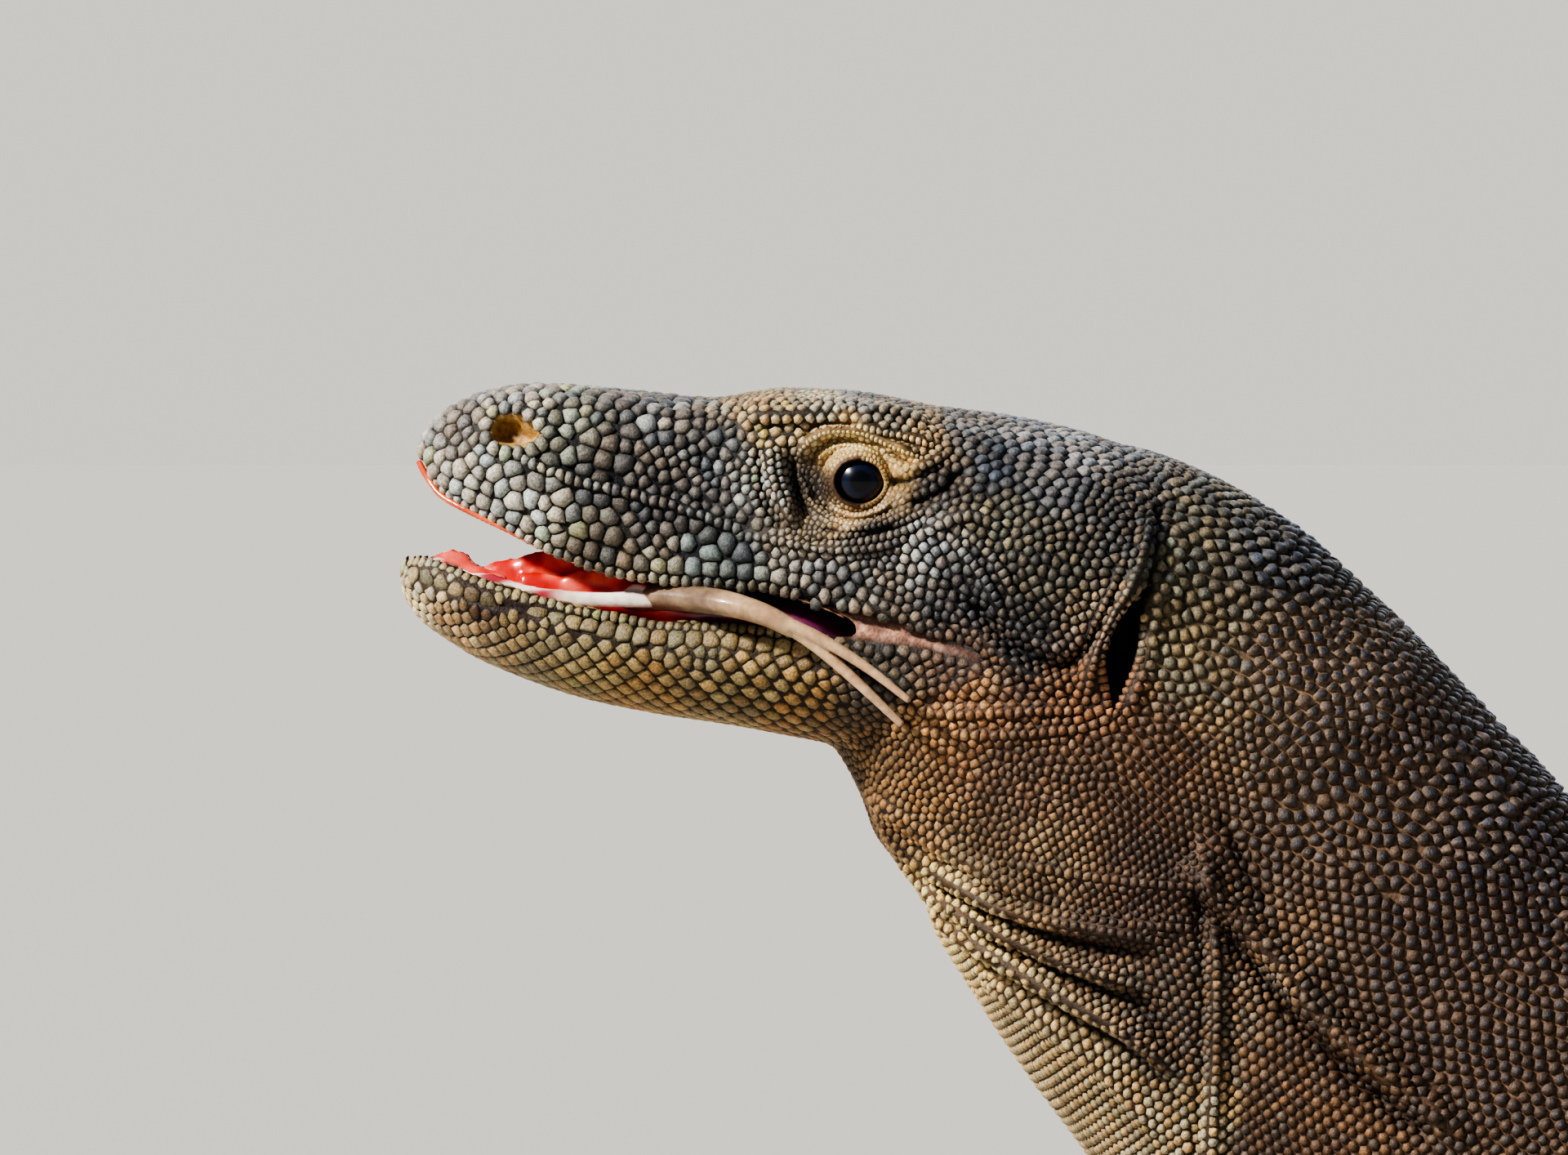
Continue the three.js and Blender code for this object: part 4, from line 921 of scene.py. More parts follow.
ZONES = [
    zone("snout tip", 3, 6, 4.4, (128, 122, 112), (204, 196, 178), (62, 52, 42), pale=0.55),
    zone("snout top", 30, 25, 4.2, (84, 80, 76), (198, 188, 168), (36, 33, 30), pale=0.45),
    zone("bridge", 60, 22, 4.2, (66, 64, 64), (180, 172, 156), (28, 27, 27), pale=0.4, stretch=1.15),
    zone("snout side", 48, 4, 4.6, (46, 48, 56), (150, 146, 132), (18, 20, 24), pale=0.35),
    zone("behind the nostril", 40, 13, 4.4, (78, 80, 78), (206, 202, 166), (34, 34, 34), pale=0.6),
    zone("before the nostril", 13, 14, 4.2, (104, 98, 92), (186, 176, 158), (48, 42, 36), pale=0.45),
    zone("below the nostril", 20, 1, 4.5, (122, 120, 112), (206, 202, 184), (48, 44, 38), pale=0.6),
    zone("front upper lip", 26, -9, 4.8, (138, 132, 116), (212, 206, 186), (56, 48, 36), pale=0.6),
    zone("middle upper lip", 52, -17, 4.8, (73, 66, 58), (156, 148, 128), (32, 28, 23), pale=0.45),
    zone("upper lip's edge", 56, -25, 3.2, (112, 98, 78), (190, 174, 142), (50, 38, 28), pale=0.4),
    zone("rear upper lip", 80, -20, 4.5, (46, 51, 56), (144, 148, 136), (18, 20, 27), pale=0.48),
    zone("side of the snout", 66, -6, 3.4, (44, 45, 52), (150, 142, 126), (18, 19, 24), pale=0.25),
    zone("lore", 80, 4, 3.2, (44, 46, 54), (172, 166, 152), (17, 18, 22), pale=0.3),
    zone("before the eye", 96, 0, 2.4, (92, 86, 76), (206, 198, 176), (38, 34, 30), pale=0.55),
    zone("brow", 108, 18, 3.0, (100, 91, 80), (212, 194, 156), (38, 33, 28), pale=0.48),
    zone("front brow", 96, 15, 3.0, (112, 94, 70), (214, 184, 132), (44, 34, 26), pale=0.55),
    zone("top of the head", 119, 26, 3.6, (80, 75, 70), (164, 154, 138), (34, 31, 29), pale=0.5),
    zone("upper lid", 114, 8, 1.3, (192, 156, 96), (232, 200, 140), (206, 164, 98), 0.08, pale=0.5),
    zone("outer fold of the lid", 112, 13, 1.5, (180, 142, 86), (234, 200, 142), (166, 126, 76), 0.2,
         pale=0.5),
    zone("rear upper lid", 129, 5, 1.8, (188, 150, 90), (226, 192, 130), (184, 142, 82), 0.1, pale=0.5),
    zone("under the rear brow", 134, 9.5, 2.4, (150, 118, 70), (222, 188, 132), (84, 58, 32), pale=0.6),
    zone("before the pupil", 107, 0, 1.5, (50, 40, 34), (100, 80, 60), (30, 22, 18), 0.1, pale=0.3),
    zone("lower lid", 118, -8.6, 1.3, (158, 128, 84), (218, 190, 142), (160, 124, 80), 0.14, pale=0.5),
    zone("under the front lid", 107, -8, 1.6, (96, 82, 62), (168, 148, 114), (84, 66, 48), 0.14, pale=0.4),
    zone("under the eye", 122, -15, 2.0, (50, 46, 44), (138, 130, 118), (22, 20, 20), pale=0.35),
    zone("rear brow", 129, 17.5, 3.0, (78, 71, 64), (172, 156, 126), (32, 28, 25), pale=0.4),
    zone("behind the brow", 147, 13, 3.2, (58, 55, 56), (146, 138, 126), (25, 24, 25), pale=0.4, stretch=1.1),
    zone("behind the lids", 137, 1, 2.4, (58, 52, 48), (128, 118, 104), (24, 20, 20), pale=0.3),
    zone("behind the eye", 155, 4, 3.3, (36, 38, 44), (106, 108, 108), (16, 17, 20), pale=0.3, stretch=1.2),
    zone("back of the head", 165, 14, 3.4, (76, 76, 80), (190, 184, 172), (34, 33, 34), pale=0.5, lean=0.2,
         stretch=1.3),
    zone("temple", 178, 3, 3.4, (62, 60, 62), (164, 158, 148), (28, 27, 28), pale=0.4, lean=0.3, stretch=1.3),
    zone("cheek", 138, -19, 2.8, (110, 105, 99), (204, 197, 181), (31, 29, 28), pale=0.55, lie=35,
         stretch=1.2),
    zone("lower cheek", 146, -30, 2.6, (51, 51, 55), (138, 131, 120), (20, 20, 23), pale=0.3, lie=45,
         stretch=1.4),
    zone("over the mouth's corner", 112, -27, 3.4, (76, 74, 74), (170, 164, 150), (26, 25, 26), pale=0.5,
         stretch=1.1),
    zone("upper cheek", 155, -8, 2.7, (48, 46, 44), (178, 166, 130), (21, 20, 19), pale=0.25, lie=40,
         stretch=1.3),
    zone("jaw muscle", 170, -22, 2.7, (46, 43, 40), (170, 156, 124), (22, 20, 18), pale=0.25, lie=20,
         stretch=1.1),
    zone("low jaw muscle", 166, -40, 2.5, (38, 36, 36), (112, 106, 94), (16, 15, 16), pale=0.25, lie=30,
         stretch=1.2),
    zone("before the ear", 181, -40, 2.2, (100, 84, 68), (206, 178, 138), (46, 36, 28), pale=0.4, lie=60,
         stretch=1.4),
    zone("under the ear", 178, -55, 2.5, (106, 73, 46), (183, 136, 90), (55, 33, 20), pale=0.4, stretch=1.2),
    zone("above the ear", 190, -8, 2.8, (54, 50, 48), (136, 124, 106), (26, 23, 21), pale=0.3),
    zone("behind the ear", 204, -44, 3.2, (36, 34, 34), (224, 206, 146), (118, 100, 70), 0.36, 0.96,
         pale=0.32, lie=70, stretch=1.15),
    zone("over behind the ear", 206, -20, 3.7, (40, 40, 43), (196, 184, 142), (114, 100, 76), 0.36, 0.96,
         pale=0.28, lie=70, stretch=1.2),
    zone("nape", 232, -22, 4.4, (34, 36, 42), (108, 108, 108), (110, 98, 82), 0.46, 0.96, 0.7, 0.34),
    zone("back of the neck", 290, -90, 4.6, (28, 29, 35), (114, 104, 94), (138, 112, 82), 0.46, 0.96, 0.7,
         0.3),
    zone("high on the neck", 238, -50, 4.2, (27, 28, 33), (112, 100, 86), (176, 146, 108), 0.4, 0.96, 0.5,
         0.32),
    zone("side of the neck", 250, -84, 4.1, (26, 26, 31), (114, 98, 78), (134, 106, 74), 0.36, 0.96, 0.4,
         0.32),
    zone("low on the neck", 280, -130, 4.1, (24, 24, 28), (98, 82, 67), (130, 102, 73), 0.36, 0.96, 0.3,
         0.28),
    zone("under the slanting fold", 236, -166, 2.9, (54, 44, 34), (130, 102, 70), (92, 64, 38), 0.34,
         pale=0.38),
    zone("before the fold", 192, -110, 2.3, (46, 37, 31), (112, 88, 62), (74, 50, 32), 0.36, pale=0.35),
    zone("dark by the fold", 198, -143, 2.5, (68, 57, 45), (142, 120, 88), (56, 41, 28), 0.36, pale=0.36),
    zone("throat", 160, -98, 2.4, (70, 56, 40), (154, 126, 85), (76, 55, 33), 0.36, pale=0.4),
    zone("upper throat", 160, -78, 2.4, (60, 48, 37), (144, 112, 76), (80, 54, 34), 0.34, pale=0.38),
    zone("neck before the fold", 195, -75, 2.7, (36, 32, 31), (126, 100, 70), (118, 84, 52), 0.36, 0.97,
         pale=0.3),
    zone("front of the throat", 140, -118, 2.8, (162, 138, 84), (224, 200, 136), (87, 61, 30), 0.36, pale=0.6,
         lie=90, stretch=1.25),
    zone("upper edge of the throat", 120, -92, 2.5, (92, 68, 42), (160, 124, 80), (52, 32, 16), 0.34,
         pale=0.45),
    zone("low on the throat", 178, -155, 2.9, (130, 110, 70), (186, 164, 114), (70, 50, 26), 0.36, pale=0.6,
         lie=90, stretch=1.25),
    zone("upright fold", 209, -172, 2.9, (128, 112, 76), (198, 178, 128), (74, 56, 34), 0.34, pale=0.5,
         lie=90, stretch=1.2),
    zone("behind the upright fold", 220, -172, 2.9, (56, 45, 35), (120, 96, 68), (76, 54, 34), 0.34,
         pale=0.35),
    zone("under the jaw's corner", 128, -76, 2.5, (84, 62, 38), (158, 122, 76), (46, 28, 14), 0.32, pale=0.4),
    zone("chin", 0, -30, 3.6, (168, 148, 117), (236, 222, 188), (92, 70, 48), 0.2, pale=0.55),
    zone("front of the lower lip", 3, -22.4, 2.8, (138, 128, 94), (190, 180, 142), (78, 52, 36), 0.14,
         pale=0.5, lie=90, stretch=1.3),
    zone("lower lip", 21, -29.2, 2.7, (130, 120, 86), (178, 168, 128), (64, 38, 26), 0.12, pale=0.5, lie=90,
         stretch=1.4),
    zone("middle of the lower lip", 46, -33.6, 2.7, (126, 116, 84), (172, 162, 122), (60, 38, 26), 0.12,
         pale=0.5, lie=90, stretch=1.4),
    zone("rear of the lower lip", 76, -37.4, 3.0, (108, 98, 72), (156, 144, 110), (62, 50, 36), 0.16,
         pale=0.4),
    zone("muddy lip", 17, -33.5, 3.6, (66, 42, 31), (146, 116, 84), (36, 18, 14), 0.2, pale=0.2),
    zone("front of the jaw", 12, -41, 3.8, (129, 103, 71), (214, 186, 143), (51, 34, 23), 0.18, pale=0.45),
    zone("upper jaw side", 48, -40, 3.9, (94, 86, 67), (154, 142, 112), (58, 47, 34), 0.18, 0.99, pale=0.4,
         lie=5, stretch=1.45),
    zone("middle of the jaw", 50, -50, 3.5, (116, 98, 64), (172, 149, 102), (58, 43, 26), 0.2, 0.99, 0.5, 0.5,
         8, 1.75),
    zone("bottom of the jaw", 56, -58, 3.4, (130, 99, 57), (184, 148, 92), (64, 43, 22), 0.22, 0.99, 0.5, 0.5,
         10, 1.75),
    zone("rear of the jaw", 92, -54, 3.2, (110, 92, 60), (178, 154, 104), (56, 41, 24), 0.24, 0.99, 0.5, 0.45,
         8, 1.75),
    zone("rear bottom of the jaw", 100, -62, 3.1, (112, 83, 47), (172, 133, 79), (60, 40, 20), 0.24, 0.99,
         0.5, 0.5, 8, 1.75),
    zone("behind the tongue", 124, -50, 2.7, (50, 48, 46), (132, 114, 86), (28, 22, 18), 0.24, pale=0.3,
         stretch=1.4),
    zone("below the mouth's corner", 143, -49, 2.3, (62, 52, 45), (146, 116, 84), (48, 32, 22), 0.26,
         pale=0.35, stretch=1.4),
    zone("rusty skin", 146, -58, 2.4, (104, 74, 49), (196, 150, 94), (96, 60, 32), 0.3, pale=0.42,
         stretch=1.5),
    zone("rusty skin below", 140, -66, 2.4, (112, 80, 50), (196, 150, 94), (98, 62, 32), 0.3, pale=0.48,
         stretch=1.4),
    zone("shoulders", 400, -190, 6.2, (40, 36, 34), (104, 92, 78), (66, 48, 35), 0.26, 0.88, 0.4, 0.35),
    zone("upper arm", 425, -320, 5.8, (46, 40, 36), (112, 98, 82), (64, 48, 36), 0.28, 0.9, 0.4, 0.35),
    zone("back", 620, -190, 7.0, (42, 38, 35), (104, 92, 78), (62, 47, 35), 0.26, 0.88, 0.4, 0.35),
    zone("flank", 620, -300, 6.6, (48, 42, 36), (118, 102, 84), (74, 54, 39), 0.26, 0.88, 0.4, 0.4),
    zone("belly", 620, -400, 8.0, (112, 97, 74), (170, 152, 122), (86, 70, 50), 0.16, 0.95, 0.2, 0.5),
    zone("chest", 340, -340, 5.6, (98, 80, 56), (170, 148, 114), (70, 50, 32), 0.22, 0.93, 0.2, 0.5),
    zone("rump", 960, -240, 6.8, (40, 37, 34), (100, 90, 76), (60, 46, 35), 0.26, 0.88, 0.4, 0.35),
    zone("root of the tail", 1150, -360, 7.0, (40, 36, 32), (100, 88, 73), (58, 44, 32), 0.26, 0.9, 0.5,
         0.35),
    zone("tail", 1500, -480, 6.2, (38, 34, 30), (94, 82, 68), (54, 41, 30), 0.26, 0.9, 0.5, 0.35,
         stretch=1.2),
    zone("thin tail", 1900, -505, 5.0, (36, 32, 29), (90, 78, 66), (50, 38, 28), 0.26, 0.9, 0.5, 0.35,
         stretch=1.3),
    zone("tail tip", 2230, -520, 3.4, (32, 29, 27), (80, 70, 60), (44, 34, 26), 0.24, 0.9, 0.5, 0.35),
    zone("forefoot", 400, -505, 3.7, (42, 38, 34), (106, 95, 82), (50, 41, 33), pale=0.35),
    zone("foreleg", 450, -430, 5.6, (44, 39, 35), (108, 96, 82), (58, 45, 34), 0.26, 0.9, 0.3, 0.35),
    zone("hind foot", 930, -505, 3.9, (42, 38, 34), (106, 95, 82), (50, 41, 33), pale=0.35),
    zone("hind leg", 920, -420, 6.0, (44, 39, 35), (108, 96, 82), (58, 45, 34), 0.26, 0.9, 0.3, 0.35),
]
ZONE_PLACES, ZONE_VALUES = (np.array([one[k] for one in ZONES], float) for k in (1, 2))
ZONE_SHARPNESS = 2.4


def scale_zone(points):
    """What the scales are like at each point, blended from the zones near it in the side view."""
    y, z = side_view(points).T
    # the zones' borders wander, little on the head and far on the body
    yz = side_view(points)
    reaches = np.clip(0.12 * y - 12, 3, 30), np.clip(0.4 * y - 90, 0, 150)
    for size, seed, reach in zip((15, 80), (42, 44), reaches):
        wander = np.column_stack([noise(points, size, seed), noise(points, size, seed + 1)]) - 0.5
        yz += wander * reach[:, None]
    blended = np.empty((len(points), ZONE_VALUES.shape[1]))
    for block in blocks(len(points)):
        gaps = ((yz[block, None] - ZONE_PLACES) ** 2).sum(2) + 4
        weights = gaps**-ZONE_SHARPNESS
        blended[block] = (weights / weights.sum(1, keepdims=True)) @ ZONE_VALUES
    pitch, height, fill, lean, pale, pull_c, pull_s = blended[:, :7].T
    # sizes differ most on the snout and the slack neck
    snout, slack = step(-27, -22, z) * step(115, 95, y), step(200, 225, y) * step(1000, 300, y)
    pitch = pitch * (1 + (0.16 + 0.34 * snout + 0.22 * slack) * (noise(points, 4.2, 41) - 0.5))
    turn = -0.5 * np.arctan2(pull_s, pull_c)
    lie = np.column_stack([0 * turn, np.cos(turn), np.sin(turn)])
    # the light is warm, so the upper head and the neck are a little bluer than the table says
    cast = mix(np.ones(3), np.array([0.93, 1.0, 1.16]), step(-34, -20, z))
    cast = mix(cast, np.array([1.02, 1.04, 1.28]), step(110, 150, y) * step(-20, -50, z))
    dark, light, rim = (blended[:, k : k + 3] * cast for k in (7, 10, 13))
    return SimpleNamespace(
        pitch=pitch, height=height, fill=fill, lean=lean, pale=pale,
        lie=lie, stretch=1 + np.hypot(pull_c, pull_s), dark=dark, light=light, rim=rim,
    )


def bare(vertices):
    """1 where no scale grows: in the mouth, lids, nostrils and ears, and at the mouth's corner."""
    yz = side_view(vertices)
    margins = ((NOSTRIL_EDGE, 0.9), (EAR_EDGE, 0.4), (EYE_OPENING, 0.5), (CORNER, 1.1))
    openings = np.min([past_edge(yz, edge) - margin for edge, margin in margins], axis=0)
    sideways = np.abs(vertices[:, 0]) > SIDE_STARTS
    return np.maximum(mouth_inside(vertices), step(0.4, -0.4, openings) * sideways)


# ---------------------------------------------------------------- where the scales grow
# rows of scales along the lips: table, column of the lip's x, pitch, height over the lip's edge, and the
# first and last y
LIP_ROWS = [
    (UPPER_HEAD, HEAD_LIP_X, 3.0, 0.9, 2, 104),
    (UPPER_HEAD, HEAD_LIP_X, 4.7, 4.4, 3, 100),
    (LOWER_JAW, JAW_LIP_X, 2.5, -1.3, -3, 112),
    (LOWER_JAW, JAW_LIP_X, 4.8, -5.6, -2, 108),
]
# an opening's edge, the distance of a row of beads from it, and their pitch
RIM_BEADS = [(EYE_OPENING, 0.9, 1.1), (EYE_OPENING, 2.0, 1.3), (NOSTRIL_EDGE, 2.4, 3.6), (EAR_EDGE, 1.4, 2.2)]
OUTSIDE = 150  # mm from the middle line, clear of the head
JAW_SIDE = slice(28, 61)  # the jaw's points, of HEAD_SIDES, from under the lip to the bottom
JAW_PITCH = 5.8
BODY_ROWS = 75  # mm along the body where its rows start
FROM_SKIN = 5  # mm from the skin up to which a row's point counts
# shares of the pitch
ROW_STEP = 0.87  # between staggered rows
ROW_GAP = 0.66  # at least, between scales of rows
EXTRA_GAP = 0.8  # at least, from a scale that fills a gap to others
REST_GAP = 1.05  # between scales that no longer push each other
DENSE_ENDS = 300  # y where the extra scales thin out
ROUNDS = 8  # of pushing scales apart
GROOVE_TONE = -0.62  # a fold's tone under which no scale of the head grows
HEAD_BACK = 150  # y where the head's large scales end
NEAR_CAMERA = 330  # y of the last scales that the photo's framing shows


def lip_line(table, column, pitch, rise, start, end):
    """Points every pitch along a lip on both sides, at some height over the lip's edge."""
    rows = smooth(table, np.linspace(0, len(table) - 1, 400))
    line = np.column_stack([rows[:, column], rows[:, 0], rows[:, column + 1] + rise + EYE.z])
    return both_sides(spaced(line[(line[:, 1] > start) & (line[:, 1] < end)], pitch))


def beaded(surface):
    """The pinned beads of the folds and the lids, on both sides of the head, and their pitches."""
    curves = [(smooth(line, np.linspace(0, len(line) - 1, 60)), pitch) for line, *_, pitch in FOLDS if pitch]
    for edge, gap, pitch in RIM_BEADS:
        loop = edge_loop(edge, 60)
        loop = loop + gap * unit(loop - np.mean(edge, axis=0))
        curves.append((np.vstack([loop, loop[:1]]), pitch))
    points, pitches = [], []
    for curve, pitch in curves:
        for y, z in spaced(curve, pitch):
            for side in (1, -1):
                hit = surface.ray_cast(Vector((side * OUTSIDE, y, z + EYE.z)), Vector((-side, 0, 0)))[0]
                if hit is not None and side * hit.x > SIDE_STARTS:
                    points.append(hit)
                    pitches.append(pitch)
    return np.array(points), np.array(pitches)


def ring_rows(tube, start, end):
    """Staggered rings of points round a tube, each a pitch from the next."""
    turns = np.linspace(-np.pi, np.pi, 181)
    points, length, shift = [], start, 0
    while length < end:
        ring = tube.ring(tube.at_length(length), turns)[0]
        pitch = scale_zone(ring).pitch
        gaps = np.linalg.norm(np.diff(ring, axis=0), axis=1)
        marks = np.concatenate([[0], np.cumsum(gaps / (0.5 * (pitch[1:] + pitch[:-1])))])
        count = max(int(round(marks[-1])), 5)
        points.append(read_along(ring, marks, (np.arange(count) + shift) * marks[-1] / count))
        length += ROW_STEP * float(np.median(pitch))
        shift = 0.5 - shift
    return np.vstack(points)


def jaw_rows():
    """Rows of scales along the lower jaw, from under the lip to the middle line, staggered."""
    rings = closed(lower_jaw_outline(smooth(LOWER_JAW, np.linspace(0, len(LOWER_JAW) - 1, 200))), HEAD_SIDES)
    sides = [(ring, lengths_along(ring)) for ring in rings[:, JAW_SIDE]]
    points = []
    for row, share in enumerate(np.linspace(0.06, 1, 13)):
        line = np.vstack([read_along(ring, lengths, [share * lengths[-1]]) for ring, lengths in sides])
        points.append(spaced(line, JAW_PITCH, 2 + 0.5 * JAW_PITCH * (row % 2)))
    return both_sides(np.vstack(points))


def narrowed(away, zones):
    """Distances between scales, where those along a long scale count as shorter, by its stretch."""
    along = (away * zones.lie[:, None]).sum(2)
    return np.sqrt(np.maximum((away**2).sum(2) - along**2 * (1 - 1 / zones.stretch[:, None] ** 2), 0))


def scattered(candidates, fixed):
    """Picks candidates that keep their distance from each other and from the fixed points."""
    zones = scale_zone(candidates)
    limits = ((EXTRA_GAP * zones.pitch) ** 2).tolist()
    squash = (1 - 1 / zones.stretch**2).tolist()
    lie_y, lie_z = zones.lie[:, 1].tolist(), zones.lie[:, 2].tolist()
    size = float((zones.pitch * zones.stretch).max())
    cells = {}
    for x, y, z in fixed.tolist():
        cells.setdefault((int(x // size), int(y // size), int(z // size)), []).append((x, y, z))
    kept = []
    places = candidates.tolist()
    around = [(i, j, m) for i in (-1, 0, 1) for j in (-1, 0, 1) for m in (-1, 0, 1)]
    for k in rng.permutation(len(candidates)).tolist():
        x, y, z = places[k]
        limit, squashed, dy, dz = limits[k], squash[k], lie_y[k], lie_z[k]
        i, j, m = int(x // size), int(y // size), int(z // size)
        free = True
        for di, dj, dm in around:
            for a, b, c in cells.get((i + di, j + dj, m + dm), ()):
                u, v, w = x - a, y - b, z - c
                if u * u + v * v + w * w - squashed * (v * dy + w * dz) ** 2 < limit:
                    free = False
                    break
            if not free:
                break
        if free:
            cells.setdefault((i, j, m), []).append((x, y, z))
            kept.append(k)
    return candidates[kept]


def tree_of(points):
    tree = KDTree(len(points))
    for k, point in enumerate(points.tolist()):
        tree.insert(point, k)
    tree.balance()
    return tree


def neighbours(points, count):
    """For each point, the indices of the nearest others."""
    tree = tree_of(points)
    return np.array([[hit[1] for hit in tree.find_n(point, count + 1)][1:] for point in points.tolist()])


def on_surface(surface, points):
    hits = [surface.find_nearest(point) for point in points.tolist()]
    return np.array([hit[0] for hit in hits]), np.array([hit[3] for hit in hits])


def thinned(points, fixed):
    """Points with those left out that crowd an earlier one."""
    order = np.argsort(~fixed, kind="stable")
    points, fixed = points[order], fixed[order]
    zones = scale_zone(points)
    near = neighbours(points, 7)
    gap = narrowed(points[:, None] - points[near], zones)
    crowded = (gap < ROW_GAP * zones.pitch[:, None]) & (near < np.arange(len(points))[:, None])
    keep = ~crowded.any(1) | fixed
    return points[keep], fixed[keep]


def grown(vertices, triangles, normals):
    """The scales' roots, their normals, and their pitches."""
    surface = BVHTree.FromPolygons(vertices.tolist(), triangles.tolist())
    lips = [(lip_line(table, column, pitch, *rest), pitch) for table, column, pitch, *rest in LIP_ROWS]
    folds, fold_pitch = beaded(surface)
    pinned = np.vstack([row for row, _ in lips] + [folds])
    own_pitch = np.concatenate([np.full(len(row), pitch) for row, pitch in lips] + [fold_pitch])
    rows = [jaw_rows(), ring_rows(body, BODY_ROWS, body.lengths[-1] - 1)]
    for one in legs:
        rows += [ring_rows(tube, 0, tube.lengths[-1]) for tube in (one.upper, one.lower, one.palm, *one.toes)]
    rows = np.vstack(rows)
    wanted = np.vstack([pinned, rows])
    placed, _ = on_surface(surface, wanted)
    fixed = np.arange(len(placed)) < len(pinned)
    keep = fixed | (np.linalg.norm(placed - wanted, axis=1) < FROM_SKIN)
    own_pitch = np.concatenate([own_pitch, np.zeros(len(rows))])[keep]
    placed, fixed = placed[keep], fixed[keep]
    pinned_count = int(fixed.sum())
    placed, fixed = thinned(placed, fixed)
    # candidates: the skin's vertices, and its triangles' middles where scales are small or vertices far apart
    middles = vertices[triangles].mean(1)
    near, near_middle = vertices[:, 1] < DENSE_ENDS, middles[:, 1] < DENSE_ENDS
    fine = middles[near_middle & (scale_zone(middles).pitch < 3)]
    extra = scattered(np.vstack([vertices[near], fine, vertices[~near], middles[~near_middle]]), placed)
    placed = np.vstack([placed, extra])
    fixed = np.concatenate([fixed, np.zeros(len(extra), bool)])
    zones = scale_zone(placed)
    pitch = zones.pitch
    pitch[:pinned_count] = own_pitch[:pinned_count]
    for turn in range(ROUNDS):
        if turn % 2 == 0:
            near = neighbours(placed, 8)
        away = placed[:, None] - placed[near]
        gap = np.maximum(narrowed(away, zones), 1e-6)
        want = 0.5 * (pitch[:, None] + pitch[near]) * REST_GAP
        push = np.maximum(1 - gap / want, 0)
        move = (away / gap[..., None] * (push * want)[..., None]).sum(1) * 0.35
        placed = np.where(fixed[:, None], placed, placed + move)
        placed, _ = on_surface(surface, placed)
    in_groove = (folded(side_view(placed))[1] < GROOVE_TONE) & (placed[:, 1] < HEAD_BACK)
    keep = (bare(placed) < 0.5) & ~in_groove
    placed, pitch = placed[keep], pitch[keep]
    nearest = tree_of(vertices)
    root = np.array([nearest.find(point)[1] for point in placed.tolist()])
    return placed, normals[root], pitch


# ---------------------------------------------------------------- a scale's shape
CORNERS = 12


def scale_outlines(roots, normals, back, zones):
    """Each scale's reach in each direction, so that it fills the room between its neighbours."""
    near = neighbours(roots, 10)
    along = unit(back - normals * (back * normals).sum(1)[:, None])
    across = np.cross(normals, along)
    away = roots[near] - roots[:, None]
    u = (away * along[:, None]).sum(2)
    v = (away * across[:, None]).sum(2)
    gap = np.maximum(np.hypot(u, v), 0.25 * zones.pitch[:, None])
    turn = np.arctan2(v, u)
    share = zones.pitch[:, None] / (zones.pitch[:, None] + zones.pitch[near])
    angles = np.linspace(0, 2 * np.pi, CORNERS, endpoint=False)
    facing = np.cos(angles[None, :, None] - turn[:, None, :])
    reach = np.where(facing > 0.15, (gap * share)[:, None, :] / np.maximum(facing, 0.15), 1e9).min(2)
    ways = along[:, None] * np.cos(angles)[:, None] + across[:, None] * np.sin(angles)[:, None]
    with_lie = np.abs((ways * zones.lie[:, None]).sum(2))
    longest = 0.72 * zones.pitch[:, None] * (1 + (zones.stretch[:, None] - 1) * with_lie)
    return along, across, angles, np.minimum(reach, longest) * zones.fill[:, None]


def of_limb(points, tube):
    """Which points are near the middle of a leg's tube."""
    return np.linalg.norm(points - tube.rows[:, :3].mean(0), axis=1) < 0.62 * tube.lengths[-1]


def back_direction(points):
    """The way that the scales lie: back along the body, or down along a leg."""
    back = body.where(points)[2]
    head = step(215, 150, points[:, 1])[:, None]
    back = unit(back * (1 - head) + np.array([0, 1.0, -0.15]) * head)
    for one in legs:
        for tube in (one.upper, one.lower, one.palm):
            back[of_limb(points, tube)] = unit(tube.rows[-1:, :3] - tube.rows[:1, :3])[0]
    return back


def chance(points, seed=9):
    """A random number for each point, the same on every run."""
    return noise(points * 37.7, 3.1, seed)


def toned_with_painted_shade_and_light(colours, tone):
    """Colours made paler or darker by a fold's tone from -1 to 1: darker as painted shade in a crease, paler
    as paler skin with painted light on a crest.
    """
    paler = np.minimum(colours * 1.7 + 0.05 * np.array([1.0, 0.85, 0.6]), 0.9)
    return mix(mix(colours, paler, 0.7 * np.maximum(tone, 0)), colours * 0.22, np.maximum(-tone, 0))


